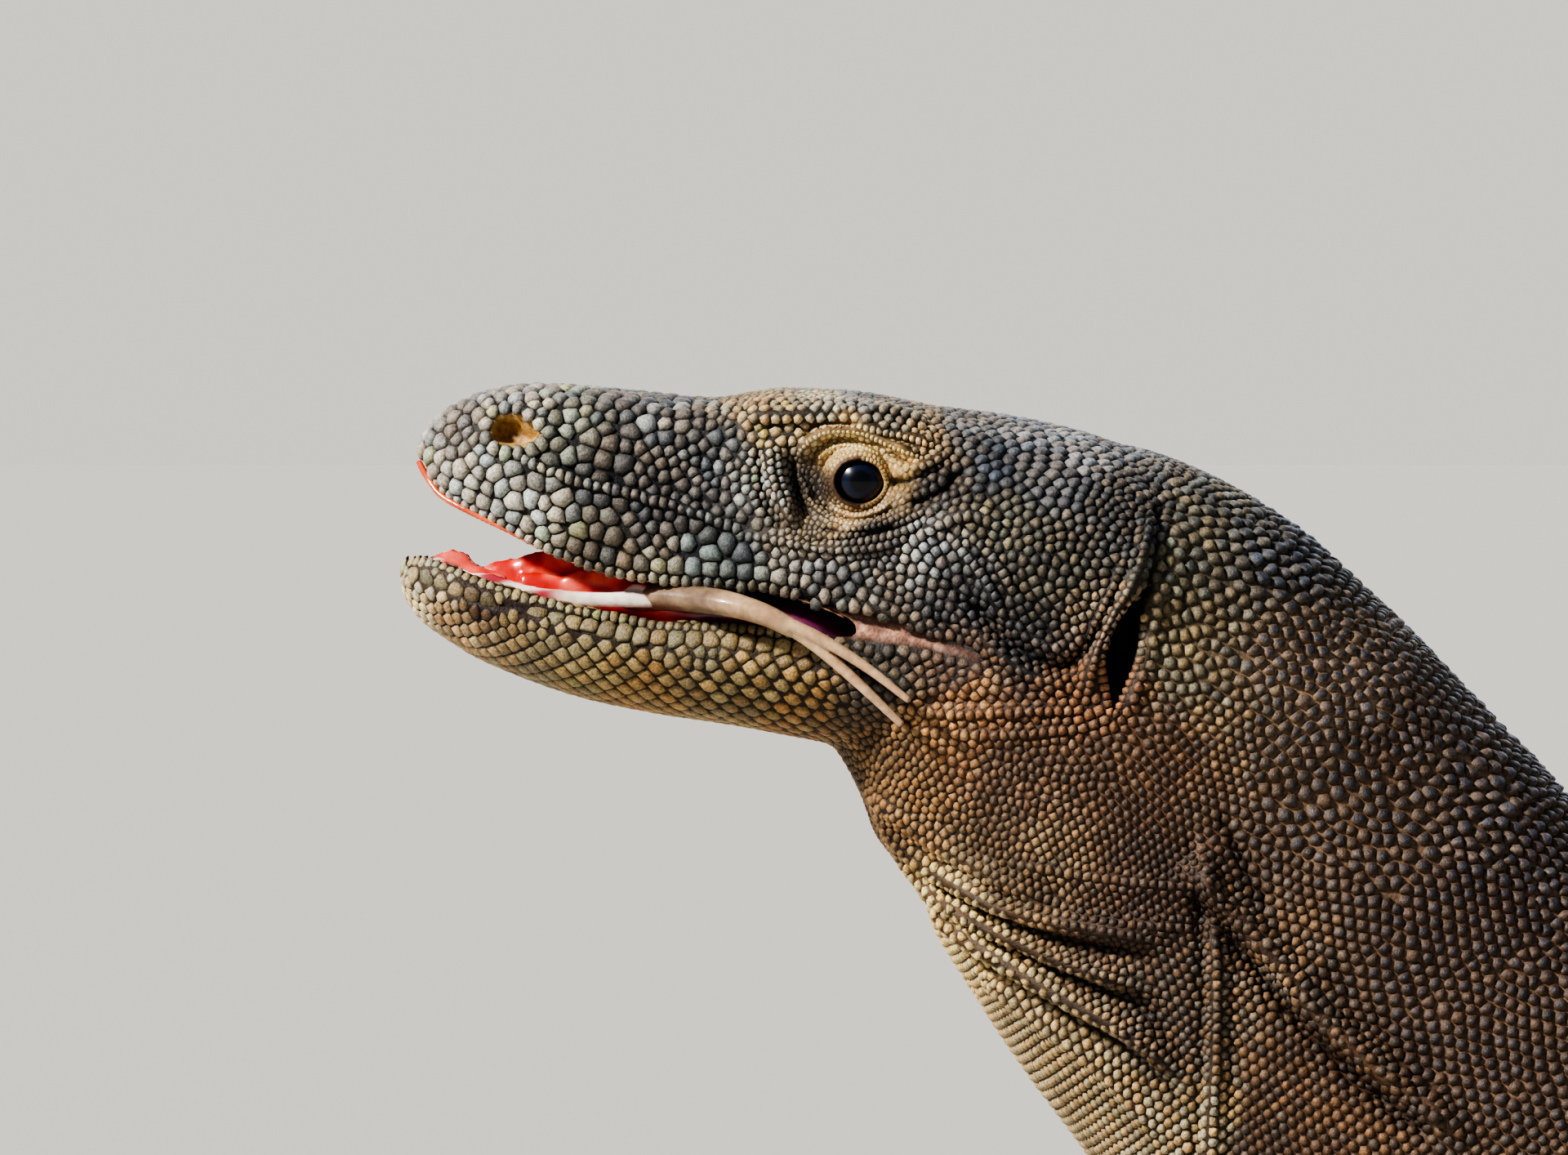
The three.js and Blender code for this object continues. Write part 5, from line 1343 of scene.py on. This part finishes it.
def crown_colours(points, zones):
    """The colour of each scale's crown: some are pale and some dark, in loose patches."""
    _, y, z = points.T
    t = 0.36 * noise(points, 11, 3) + 0.2 * noise(points, 4.5, 4) + 0.44 * chance(points)
    limit = 0.8 - 0.6 * zones.pale
    share = 0.08 + 0.3 * chance(points, 13) + 0.62 * step(limit - 0.16, limit + 0.16, t)
    crown = mix(zones.dark, zones.light, np.clip(share, 0, 1))
    # bands on the body, warm and cool scales side by side, greenish ones on the snout, dust on the head's top
    crown = crown * (1 + 0.5 * step(260, 420, y) * (noise(points, 55, 19) - 0.5))[:, None]
    neck = step(170, 220, y)
    warm = mix(np.array([1.1, 0.99, 0.88]), np.array([1.2, 1.0, 0.8]), neck)
    cool = mix(np.array([0.94, 1.0, 1.06]), np.array([0.88, 0.98, 1.16]), neck)
    crown = crown * mix(warm, cool, step(0.3, 0.7, chance(points, 14)))
    green = step(0.66, 0.8, chance(points, 15)) * step(0.5, 0.8, share) * (y < 100)
    crown = mix(crown, crown * (0.92, 1.04, 0.78), green)
    dust = step(0.5, 0.78, noise(points, 9, 17)) * (0.3 + 0.5 * chance(points, 18)) * step(-10, 6, z - EYE.z)
    crown = mix(crown, linear((140, 118, 92)), 0.4 * dust)
    # the folds' tone paints shade into their creases and light onto their paler crests
    return toned_with_painted_shade_and_light(crown, folded(side_view(points))[1])


PATCH = 0.0015  # half the width of a scale's patch in OFBake
MOST_TRIANGLES = 190000
# share of the reach, share of the height, and tone from rim to crown; the rim's colour is darkened as painted
# shade at each scale's foot
LARGE_RINGS = ((1.0, -0.35, 0.08), (0.95, 0.16, 0.62), (0.8, 0.56, 0.94), (0.46, 0.88, 1.0))
SMALL_RINGS = ((1.0, -0.35, 0.1), (0.89, 0.36, 0.8), (0.54, 0.82, 1.0))
BEAD_RINGS = ((1.0, -0.35, 0.15), (0.76, 0.64, 0.9))


def scale_faces(corners, rings):
    """The triangles of one scale of so many rings round a peak, which is its last vertex."""
    faces = []
    for k in range(corners):
        for first in range(0, (rings - 1) * corners, corners):
            a, b = first + k, first + (k + 1) % corners
            faces += [(a, b, b + corners), (a, b + corners, a + corners)]
        last = (rings - 1) * corners
        faces.append((last + k, last + (k + 1) % corners, rings * corners))
    return np.array(faces)


def scale_mesh(name, own, corners, rings):
    """One mesh of many scales, each of rings from rim to crown round a peak. Where the rims of a zone are
    paler than its scales, as on the neck, the crown's colour reaches further out and the rim stays thin."""
    count, zones = len(own.roots), own.zones
    picked = np.round(np.arange(corners) * CORNERS / corners).astype(int)
    angles, reach = own.angles[picked], own.reach[:, picked]
    height = zones.height * zones.pitch
    tilt = (chance(own.roots, 21) - 0.5)[:, None] * 0.5 + 0.35 * zones.lean[:, None]
    slant = (chance(own.roots, 22) - 0.5)[:, None] * 0.4
    crown = crown_colours(own.roots, zones)
    # the rims are the colour between the scales darkened to 0.55 as painted shade at each scale's foot, and
    # then take the folds' painted shade and light
    rim = toned_with_painted_shade_and_light(zones.rim * 0.55, folded(side_view(own.roots))[1])
    ringed = step(0.8, 2.0, rim.sum(1) / zones.dark.sum(1)) * (own.roots[:, 1] > HEAD_BACK)
    points, colours, uvs = [], [], []
    for share, rise, tone in rings:
        u = reach * share * np.cos(angles)
        v = reach * share * np.sin(angles)
        spots = own.roots[:, None] + np.stack([u, v, 0 * u], -1) * 2
        rough = noise(spots.reshape(-1, 3), 1.3, 31).reshape(u.shape)
        up = height[:, None] * rise * (1 + 0.12 * (rough - 0.5))
        if rise > 0:
            up = up * (1 + (tilt * u + slant * v) / zones.pitch[:, None])
        u = u + (0.3 * zones.lean * zones.pitch)[:, None] * (1 - share)
        points.append(
            own.roots[:, None] + own.along[:, None] * u[..., None] + own.across[:, None] * v[..., None]
            + own.normals[:, None] * up[..., None]
        )
        shade = mix(np.full(count, tone), np.full(count, step(0.98, 0.6, share)), ringed)
        colours.append(np.repeat(mix(rim, crown, shade)[:, None], corners, axis=1))
        spread = PATCH * share * np.stack([np.cos(angles), np.sin(angles)], -1)
        uvs.append(own.places[:, None] + spread)
    top = own.roots + own.along * (0.3 * zones.lean * zones.pitch)[:, None] + own.normals * height[:, None]
    vertices = np.concatenate([*points, top[:, None]], axis=1)
    vertices[..., 2] = np.maximum(vertices[..., 2], 0)
    # each peak is painted 1.12 times paler than its crown, as a highlight
    colours = np.concatenate([*colours, np.minimum(crown * 1.12, 0.95)[:, None]], axis=1)
    uvs = np.concatenate([*uvs, own.places[:, None]], axis=1)
    firsts = np.arange(count)[:, None, None] * vertices.shape[1]
    triangles = (firsts + scale_faces(corners, len(rings))).reshape(-1, 3)
    return triangle_mesh(name, vertices.reshape(-1, 3), triangles, colours.reshape(-1, 3), uvs.reshape(-1, 2))


# cells of the unwrap: left, bottom, width and height
HEAD_CELL = (0.02, 0.02, 0.96, 0.5)
BODY_CELL = (0.02, 0.54, 0.96, 0.2)
LEG_CELLS = [(0.01 + 0.25 * k, 0.76, 0.23, 0.22) for k in range(4)]
HEAD_LENGTH = 340  # mm from the snout to where the head's cell ends
SNOUT_START = 140  # mm from the snout to where lengths along the body start
MOUTH_LINE = -15  # mm over the eye: the head's points turn round this line
FOOT_TOP = 40  # mm over the floor
FOOT_REACH = 90  # mm from the palm's middle
FOOT_LENGTH, FOOT_WIDTH = 130, 320  # mm that fill the length and the width of a leg's cell


def in_cell(cell, along, round_it):
    """Places in a cell for shares of its width and height."""
    left, bottom, width, height = cell
    return np.column_stack([left + width * np.clip(along, 0, 1), bottom + height * np.clip(round_it, 0, 1)])


def skin_places(points, normals):
    """Places for points on an unwrap of the skin: length against the turn round it, and for feet the view
    from above beside the view from below."""
    length, turn, _ = body.where(points)
    ahead = points[:, 1] < HEAD_BACK
    length = np.where(ahead, np.clip(points[:, 1], -6, 200) + 10, length + SNOUT_START)
    turn = np.where(ahead, np.arctan2(points[:, 2] - EYE.z - MOUTH_LINE, points[:, 0]), turn)
    share = 0.5 + 0.5 * turn / np.pi
    whole = body.lengths[-1] + SNOUT_START - HEAD_LENGTH
    on_head = in_cell(HEAD_CELL, length / HEAD_LENGTH, share)
    on_body = in_cell(BODY_CELL, (length - HEAD_LENGTH) / whole, share)
    places = np.where((length < HEAD_LENGTH)[:, None], on_head, on_body)
    for cell, one in zip(LEG_CELLS, legs):
        for tube, start, end in ((one.upper, 0, 0.4), (one.lower, 0.3, 0.7)):
            own = of_limb(points, tube)
            gone, turn, _ = tube.where(points[own])
            gone = start + (end - start) * gone / tube.lengths[-1]
            places[own] = in_cell(cell, gone, 0.5 + 0.5 * turn / np.pi)
        own = (np.linalg.norm(points - one.palm.rows[2, :3], axis=1) < FOOT_REACH) & (points[:, 2] < FOOT_TOP)
        forward = unit(one.palm.rows[-1, :2] - one.palm.rows[0, :2])
        away = points[own, :2] - one.palm.rows[0, :2]
        ahead, aside = away @ forward, away @ (-forward[1], forward[0])
        middle = np.where(normals[own, 2] > 0, 0.75, 0.25)
        places[own] = in_cell(cell, 0.72 + 0.28 * ahead / FOOT_LENGTH, middle + aside / FOOT_WIDTH)
    return places


# ---------------------------------------------------------------- materials
def set_inputs(node, **values):
    """Sets a node's inputs, whose names have underscores for spaces here."""
    for name, value in values.items():
        node.inputs[name.replace("_", " ")].default_value = value
    return node


def node_of(tree, kind, **values):
    return set_inputs(tree.nodes.new(f"ShaderNode{kind}"), **values)


def shader(name, roughness, specular=0.5, coat=0.0):
    """A material, and the surface at the root of its nodes."""
    material = bpy.data.materials.new(name)
    material.use_nodes = True
    tree = material.node_tree
    tree.nodes.clear()
    surface = node_of(
        tree, "BsdfPrincipled", Roughness=roughness, Specular_IOR_Level=specular,
        Coat_Weight=coat, Coat_Roughness=0.14,
    )
    tree.links.new(surface.outputs[0], node_of(tree, "OutputMaterial").inputs[0])
    return material, surface


def speckle(tree, scale, detail=4.0):
    """A noise node over the object's own coordinates."""
    texture = node_of(tree, "TexNoise", Scale=scale, Detail=detail)
    tree.links.new(node_of(tree, "TexCoord").outputs["Object"], texture.inputs["Vector"])
    return texture


def bumped(surface, texture, strength, distance=0.0005):
    """Gives a surface fine bumps from a texture, of a strength and a depth in metres."""
    tree = surface.id_data
    bump = node_of(tree, "Bump", Strength=strength, Distance=distance)
    tree.links.new(texture.outputs[0], bump.inputs["Height"])
    tree.links.new(bump.outputs[0], surface.inputs["Normal"])


def coloured(surface, texture=None, low=0.6, high=1.4):
    """Gives a surface the mesh's own colours, broken up by a texture."""
    tree = surface.id_data
    colour = node_of(tree, "Attribute")
    colour.attribute_name = "Hide"
    if texture is None:
        tree.links.new(colour.outputs["Color"], surface.inputs["Base Color"])
        return
    spread = node_of(tree, "MapRange", From_Min=0.32, From_Max=0.68, To_Min=low, To_Max=high)
    tree.links.new(texture.outputs[0], spread.inputs["Value"])
    scaled = node_of(tree, "VectorMath")
    scaled.operation = "SCALE"
    tree.links.new(colour.outputs["Color"], scaled.inputs[0])
    tree.links.new(spread.outputs[0], scaled.inputs["Scale"])
    tree.links.new(scaled.outputs[0], surface.inputs["Base Color"])


def hide_material(name, grain, strength, roughness):
    material, surface = shader(name, roughness, 0.45)
    tree = material.node_tree
    coloured(surface, speckle(tree, grain, 6.0))
    bumped(surface, speckle(tree, grain * 1.9), strength)
    return material


def wet_material(name, roughness, coat, grain):
    material, surface = shader(name, roughness, 0.5, coat)
    tree = material.node_tree
    set_inputs(surface, Subsurface_Weight=0.12, Subsurface_Radius=(0.004, 0.0015, 0.001))
    coloured(surface, speckle(tree, grain), 0.8, 1.15)
    bumped(surface, speckle(tree, grain), 0.3)
    return material


# ---------------------------------------------------------------- the skin and its coat
def build_skin():
    vertices, triangles = skin_shape()
    edges = edges_of(triangles)
    vertices = relaxed(vertices, edges, 5, 0.5)
    zones = scale_zone(vertices)
    coat_depth = np.clip(0.7 * zones.height * zones.pitch, 0.3, 1.3)
    vertices -= vertex_normals(vertices, triangles) * coat_depth[:, None]
    vertices = moulded(vertices, triangles, edges)
    vertices[:, 2] = np.maximum(vertices[:, 2], 0.3)
    return vertices, triangles, edges


def skin_colours(vertices):
    zones = scale_zone(vertices)
    yz = side_view(vertices)
    sideways = np.abs(vertices[:, 0]) > SIDE_STARTS
    # the skin between the scales is the rims' colour darkened to between 0.5 and 0.9 of it as painted shade
    # in the gaps; the folds add their painted shade and light
    colours = zones.rim * (0.5 + 0.4 * noise(vertices, 6, 5))[:, None]
    colours = toned_with_painted_shade_and_light(colours, folded(yz)[1])
    pink = mix(linear((120, 84, 70)), linear((186, 142, 120)), step(0.3, 0.7, noise(vertices, 1.6, 6)))
    pink = mix(linear((86, 58, 48)), pink, step(0.0, -1.4, past_edge(yz, CORNER)))
    colours = mix(colours, pink, step(0.9, 0.0, past_edge(yz, CORNER)) * sideways)
    deep = mix(linear((172, 60, 56)), linear((112, 44, 84)), step(50, 90, yz[:, 0]))
    colours = mix(colours, deep, mouth_inside(vertices))
    from_eye = past_edge(yz, EYE_OPENING)
    around = (np.abs(yz[:, 0] - EYE.y) < 20) & sideways
    colours = mix(colours, linear((96, 66, 42)), step(3.5, 1.5, from_eye) * around * 0.7)
    rim = mix(linear((58, 38, 28)), linear((190, 152, 90)), step(119, 123, yz[:, 0]))
    colours = mix(colours, rim, step(1.0, 0.6, from_eye) * step(-0.7, -0.2, from_eye) * around)
    colours = mix(colours, linear((16, 10, 9)), step(-0.3, -0.8, from_eye) * around)
    past = past_edge(yz, NOSTRIL_EDGE)
    # the nostril's ochre lining, darker deeper in the pit and towards its front as painted shade
    ochre_with_painted_shade = mix(linear((178, 144, 92)), linear((136, 102, 58)), step(-0.5, -3, past + 0.3 * (yz[:, 0] - 27)))
    colours = mix(colours, ochre_with_painted_shade, step(1.2, 0.2, past) * sideways)
    # near black in the ear's pit: painted shade
    colours = mix(colours, linear((8, 7, 7)), step(0.6, -1.2, past_edge(yz, EAR_EDGE)) * sideways)
    return colours


skin_vertices, skin_triangles, skin_edges = build_skin()
skin_normals = vertex_normals(skin_vertices, skin_triangles)
flesh = ["head", "lower_jaw", "neck", "trunk", "tail_base", "tail_middle", "tail_tip"]
flesh += [f"{part}_{one.name}" for one in legs for part in ("upper_leg", "lower_leg", "foot")]
skin = new_object("skin", triangle_mesh("skin", skin_vertices, skin_triangles, skin_colours(skin_vertices)))
skin.data.materials.append(hide_material("skin_hide", 700, 0.5, 0.6))
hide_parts(*flesh)
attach(skin, "root")

even_normals = unit(relaxed(skin_normals, skin_edges, 2))
roots, root_normals, pitches = grown(skin_vertices, skin_triangles, even_normals)
scale_zones = scale_zone(roots)
scale_zones.pitch = pitches
along, across, angles, reach = scale_outlines(roots, root_normals, back_direction(roots), scale_zones)
places = skin_places(roots, root_normals)
scale_hide = hide_material("scale_hide", 1300, 0.6, 0.44)


def coat_piece(name, chosen, corners, rings):
    """Pieces of the coat from the chosen scales, each under the limit of triangles."""
    index = np.nonzero(chosen)[0]
    index = index[np.argsort(roots[index, 1], kind="stable")]
    pieces = math.ceil(len(index) * len(scale_faces(corners, len(rings))) / MOST_TRIANGLES)
    for number, part in enumerate(np.array_split(index, max(pieces, 1)), 1):
        own = SimpleNamespace(
            roots=roots[part], normals=root_normals[part], along=along[part], across=across[part],
            angles=angles, reach=reach[part], places=places[part],
            zones=SimpleNamespace(**{key: value[part] for key, value in vars(scale_zones).items()}),
        )
        piece = new_object(f"{name}_{number}", scale_mesh(name, own, corners, rings))
        piece.data.materials.append(scale_hide)
        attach(piece, "root")


# only the photo's part has the finer shapes: plates on the head, then scales, then beads
near_camera = roots[:, 1] < NEAR_CAMERA
plates = (pitches > 4.0) & (roots[:, 1] < HEAD_BACK)
small = pitches < 3.05
coat_piece("scales_large", near_camera & plates, 12, LARGE_RINGS)
coat_piece("scales_medium", near_camera & ~small & ~plates, 8, SMALL_RINGS)
coat_piece("scales_small", near_camera & small, 8, BEAD_RINGS)
coat_piece("scales_body", ~near_camera, 6, BEAD_RINGS)


# ---------------------------------------------------------------- eyes
def triangles_of(faces):
    return np.array([part for face in faces for part in (face[:3], [face[0], *face[2:]]) if len(part) == 3])


def eyeball(side):
    """A ball of rings about the line through the pupil, with a low cornea."""
    polar = np.linspace(0.02, np.pi - 0.02, 60)
    turns = np.linspace(0, 2 * np.pi, 64, endpoint=False)
    radius = (EYE.radius - 0.25) + 0.35 * hill(polar, 0.5)
    rings = np.empty((len(polar), len(turns), 3))
    rings[..., 0] = side * (EYE.x + (radius * np.cos(polar))[:, None])
    rings[..., 1] = EYE.y + np.outer(radius * np.sin(polar), np.cos(turns))
    rings[..., 2] = EYE.z + np.outer(radius * np.sin(polar), np.sin(turns))
    vertices, faces = loft(rings)
    out = np.hypot(vertices[:, 1] - EYE.y, vertices[:, 2] - EYE.z)
    # a near-black pupil and a navy ring round it, partly the eye's own dark colour and partly a painted
    # bluish reflection; the brown on the lower side is a painted reflection of the ground
    colours = mix(linear((6, 8, 16)), linear((22, 30, 52)), step(2.4, 3.6, out))
    lower = step(0, -3, vertices[:, 2] - EYE.z)
    colours = mix(colours, linear((60, 42, 30)), 0.5 * step(3.8, 4.6, out) * lower)
    colours = mix(colours, linear((8, 6, 6)), step(4.7, 5.3, out))
    return triangle_mesh("eye", vertices, triangles_of(faces), colours)


wet_eye, wet_surface = shader("eye_wet", 0.26, 0.3, 0.3)
coloured(wet_surface)
for side, name in ((1, "left"), (-1, "right")):
    ball = new_object(f"eyeball_{name}", eyeball(side))
    ball.data.materials.append(wet_eye)
    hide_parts(f"eye_{name}")
    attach(ball, "root")


# ---------------------------------------------------------------- tongue, mouth and claws
def melted_object(name, shells, grain, colour_of, smoothing=4):
    """One smooth piece melted from shells, coloured by place."""
    mesh = melted(shells, grain)
    vertices, triangles = arrays_of(mesh)
    bpy.data.meshes.remove(mesh)
    vertices = relaxed(vertices, edges_of(triangles), smoothing, 0.5)
    return new_object(name, triangle_mesh(name, vertices, triangles, colour_of(vertices)))


def over_eye(rows):
    return [[x, y, z + EYE.z, w, h] for x, y, z, w, h in rows]


def tongue_colours(vertices):
    y = vertices[:, 1]
    tan = mix(linear((172, 134, 104)), linear((208, 178, 142)), noise(vertices, 5, 11))
    grey = mix(linear((118, 96, 80)), linear((158, 132, 108)), noise(vertices, 3, 14))
    return mix(grey, tan, step(78, 86, y))


tongue = melted_object(
    "tongue_forked",
    [Tube(over_eye(rows)).shell(0.5, 24) for rows in (TONGUE_STEM, TONGUE_INNER, TONGUE_OUTER)],
    0.45, tongue_colours,
)
tongue.data.materials.append(wet_material("tongue_skin", 0.35, 0.3, 500))
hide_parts("tongue")
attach(tongue, "root")

# The mouth's lining inside each side of the lower lip. Of each standing leaf: its inset from the lip, half
# its thickness, the height of its base over the eye, and its top as places and heights over the eye.
LEAVES = [
    (4.8, 1.5, -34, [(3, -20.7), (8, -21.8), (14, -24.2), (19, -24.4), (25, -26.4),
                     (32, -28.2), (40, -29), (50, -29.6), (58, -29.4), (64, -31)]),
    (7, 1.2, -34, [(56.4, -29), (58.4, -27.2), (60.4, -26.8), (62.5, -29), (66, -33)]),
    (9, 2.2, -33, [(3, -21.2), (6, -20), (9.4, -18.5), (12, -20.6), (15, -22.4), (19, -23.6), (24, -25.5)]),
    (11, 2.2, -36, [(28, -25), (31, -24.4), (36, -25), (40, -25.6), (43, -24.2),
                    (47, -23.4), (53, -24.6), (58, -26.2), (61, -29)]),
    (16, 3.0, -36, [(19, -24.6), (21.6, -21.8), (25, -21), (28.5, -21), (31, -19.6),
                    (36, -18.8), (41, -19.6), (50, -22.6), (62, -26)]),
]
THROAT_FLOOR = [
    [0, 30, -33, 10, 6], [0, 42, -32, 15, 8.5], [0, 56, -33, 19, 8], [0, 72, -35.5, 22, 8],
    [0, 84, -36, 29, 9], [0, 92, -36.5, 31.5, 9], [0, 104, -39, 33, 9.5], [0, 112, -43, 31, 11],
    [0, 126, -49, 27, 12], [0, 144, -58, 27, 11],
]


def leaf(side, inset, thick, base, tops):
    """A standing leaf of the mouth's lining."""
    line = smooth(tops, np.linspace(0, len(tops) - 1, 12 * len(tops)))
    lip_x = column_at(LOWER_JAW, JAW_LIP_X, line[:, 0])
    x = np.maximum(lip_x - inset, 0.2 * lip_x)
    rows = [[side * a, y, 0.5 * (top + base), thick, 0.5 * (top - base)] for a, (y, top) in zip(x, line)]
    return Tube(over_eye(rows), across=(1, 0, 0)).shell(0.7, 32)


def lining_colours(vertices):
    y = vertices[:, 1]
    inset = column_at(LOWER_JAW, JAW_LIP_X, y) - np.abs(vertices[:, 0])
    red = mix(linear((204, 50, 42)), linear((244, 116, 100)), step(0.3, 0.75, noise(vertices, 4.5, 12)))
    # the gum's edge is rose with white streaks, and whiter from y 34 back: the white is a painted wet
    # highlight
    streaks = noise(vertices * (1, 0.4, 1.6), 3.5, 15)
    rose_and_painted_highlight = mix(linear((176, 62, 74)), linear((250, 232, 222)), step(0.3, 0.55, streaks))
    rose_and_painted_highlight = mix(rose_and_painted_highlight, linear((254, 246, 234)), step(34, 42, y) * 0.8)
    colours = mix(red, rose_and_painted_highlight, step(6.6, 5.8, inset))
    return mix(colours, linear((140, 66, 108)), step(66, 84, y))


leaf_shells = [leaf(side, *rest) for side in (1, -1) for rest in LEAVES]
lining_shells = [*leaf_shells, Tube(over_eye(THROAT_FLOOR)).shell(1.5, 48)]
lining = melted_object("mouth_lining", lining_shells, 0.8, lining_colours, 3)
wet_flesh = wet_material("wet_flesh", 0.22, 0.6, 300)
lining.data.materials.append(wet_flesh)
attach(lining, "root")



def gum_shell():
    """The gum's edge all round under the upper lip, thinner from the snout's side backwards."""
    rows = smooth(UPPER_HEAD, np.linspace(8.8, 0, 120))
    left = rows[:, [HEAD_LIP_X, 0, HEAD_LIP_X + 1]] + (-1.5, 0.4, 0.1)
    left = left[left[:, 0] > 0]
    thick = (1.05 - 0.5 * step(8, 34, left[:, 1]))[:, None]
    left = np.hstack([left, thick, thick])
    rows = np.vstack([left, left[::-1] * (-1, 1, 1, 1, 1)])
    return Tube(over_eye(rows), across=(0, 0, 1)).shell(0.7, 20)


def gum_colours(vertices):
    """Red in front and tan behind."""
    red = mix(linear((190, 52, 32)), linear((226, 116, 70)), noise(vertices, 4, 16))
    return mix(red, linear((150, 116, 84)), step(24, 38, vertices[:, 1]))


gum = melted_object("upper_gum", [gum_shell()], 0.6, gum_colours)
gum.data.materials.append(wet_flesh)
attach(gum, "root")


def claw_material():
    material, surface = shader("claw_horn", 0.38)
    tree = material.node_tree
    streaks = speckle(tree, 260)
    ramp = node_of(tree, "ValToRGB")
    for element, colour in zip(ramp.color_ramp.elements, ((26, 23, 21), (92, 80, 66))):
        element.color = (*linear(colour), 1)
    tree.links.new(streaks.outputs[0], ramp.inputs[0])
    tree.links.new(ramp.outputs[0], surface.inputs["Base Color"])
    bumped(surface, streaks, 0.3, 0.0004)
    return material


horn = claw_material()
for one in legs:
    for number, tube in enumerate(one.claws, 1):
        vertices, faces = tube.shell(1, 20)
        claw = new_object(f"horn_{one.name}_{number}", triangle_mesh("claw", vertices, triangles_of(faces)))
        claw.data.materials.append(horn)
        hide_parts(f"claw_{one.name}_{number}")
        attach(claw, "root")


# ---------------------------------------------------------------- stage
FLOOR_HALF = 60  # metres
FLOOR_CORNERS = [(FLOOR_HALF * a, FLOOR_HALF * b, 0) for a, b in ((-1, -1), (1, -1), (1, 1), (-1, 1))]
floor = new_object("floor", new_mesh("floor", FLOOR_CORNERS, [(0, 1, 2, 3)]))
plain, plain_surface = shader("floor_plain", 0.9, 0.2)
set_inputs(plain_surface, Base_Color=(*linear((186, 183, 177)), 1))
floor.data.materials.append(plain)

# the camera sees a plain shade, and everything else is lit by a dim blue sky
world = bpy.data.worlds.new("studio")
world.use_nodes = True
studio = world.node_tree
lit = set_inputs(studio.nodes["Background"], Color=(0.62, 0.72, 0.86, 1), Strength=0.26)
seen = node_of(studio, "Background", Color=(*linear((215, 212, 204)), 1))
either = node_of(studio, "MixShader")
studio.links.new(node_of(studio, "LightPath").outputs["Is Camera Ray"], either.inputs[0])
studio.links.new(lit.outputs[0], either.inputs[1])
studio.links.new(seen.outputs[0], either.inputs[2])
studio.links.new(either.outputs[0], studio.nodes["World Output"].inputs["Surface"])
bpy.context.scene.world = world

VIEW_MIDDLE = in_frame([[0, 98.6, EYE.z - 26.2]])[0]
VIEW_WIDTH = 0.4224  # metres across at the head
ELEVATION = math.radians(1.0)


def sun(name, energy, angle, colour, place):
    """A sun of a width in degrees at a place round the head, turned to it."""
    light = bpy.data.lights.new(name, "SUN")
    light.energy, light.angle, light.color = energy, math.radians(angle), colour
    made = new_object(name, light)
    made.location = Vector(VIEW_MIDDLE) + Vector(place)
    made.rotation_euler = (-Vector(place)).to_track_quat("-Z", "Y").to_euler()


sun("key", 5.6, 7, (1.0, 0.95, 0.87), (1.25, -2.4, 2.1))
sun("fill", 1.1, 50, (0.9, 0.95, 1.0), (-2.4, 0.7, 1.3))
bpy.context.scene.view_settings.look = "AgX - High Contrast"

camera = new_object("camera", bpy.data.cameras.new("camera"))
camera.data.sensor_width = 36
camera.data.lens = 300
camera.data.clip_end = 200
reach_back = camera.data.lens / camera.data.sensor_width * VIEW_WIDTH
toward = Vector((math.cos(ELEVATION), 0, math.sin(ELEVATION)))
camera.location = Vector(VIEW_MIDDLE) + toward * reach_back
camera.rotation_euler = (-toward).to_track_quat("-Z", "Y").to_euler()
bpy.context.scene.camera = camera
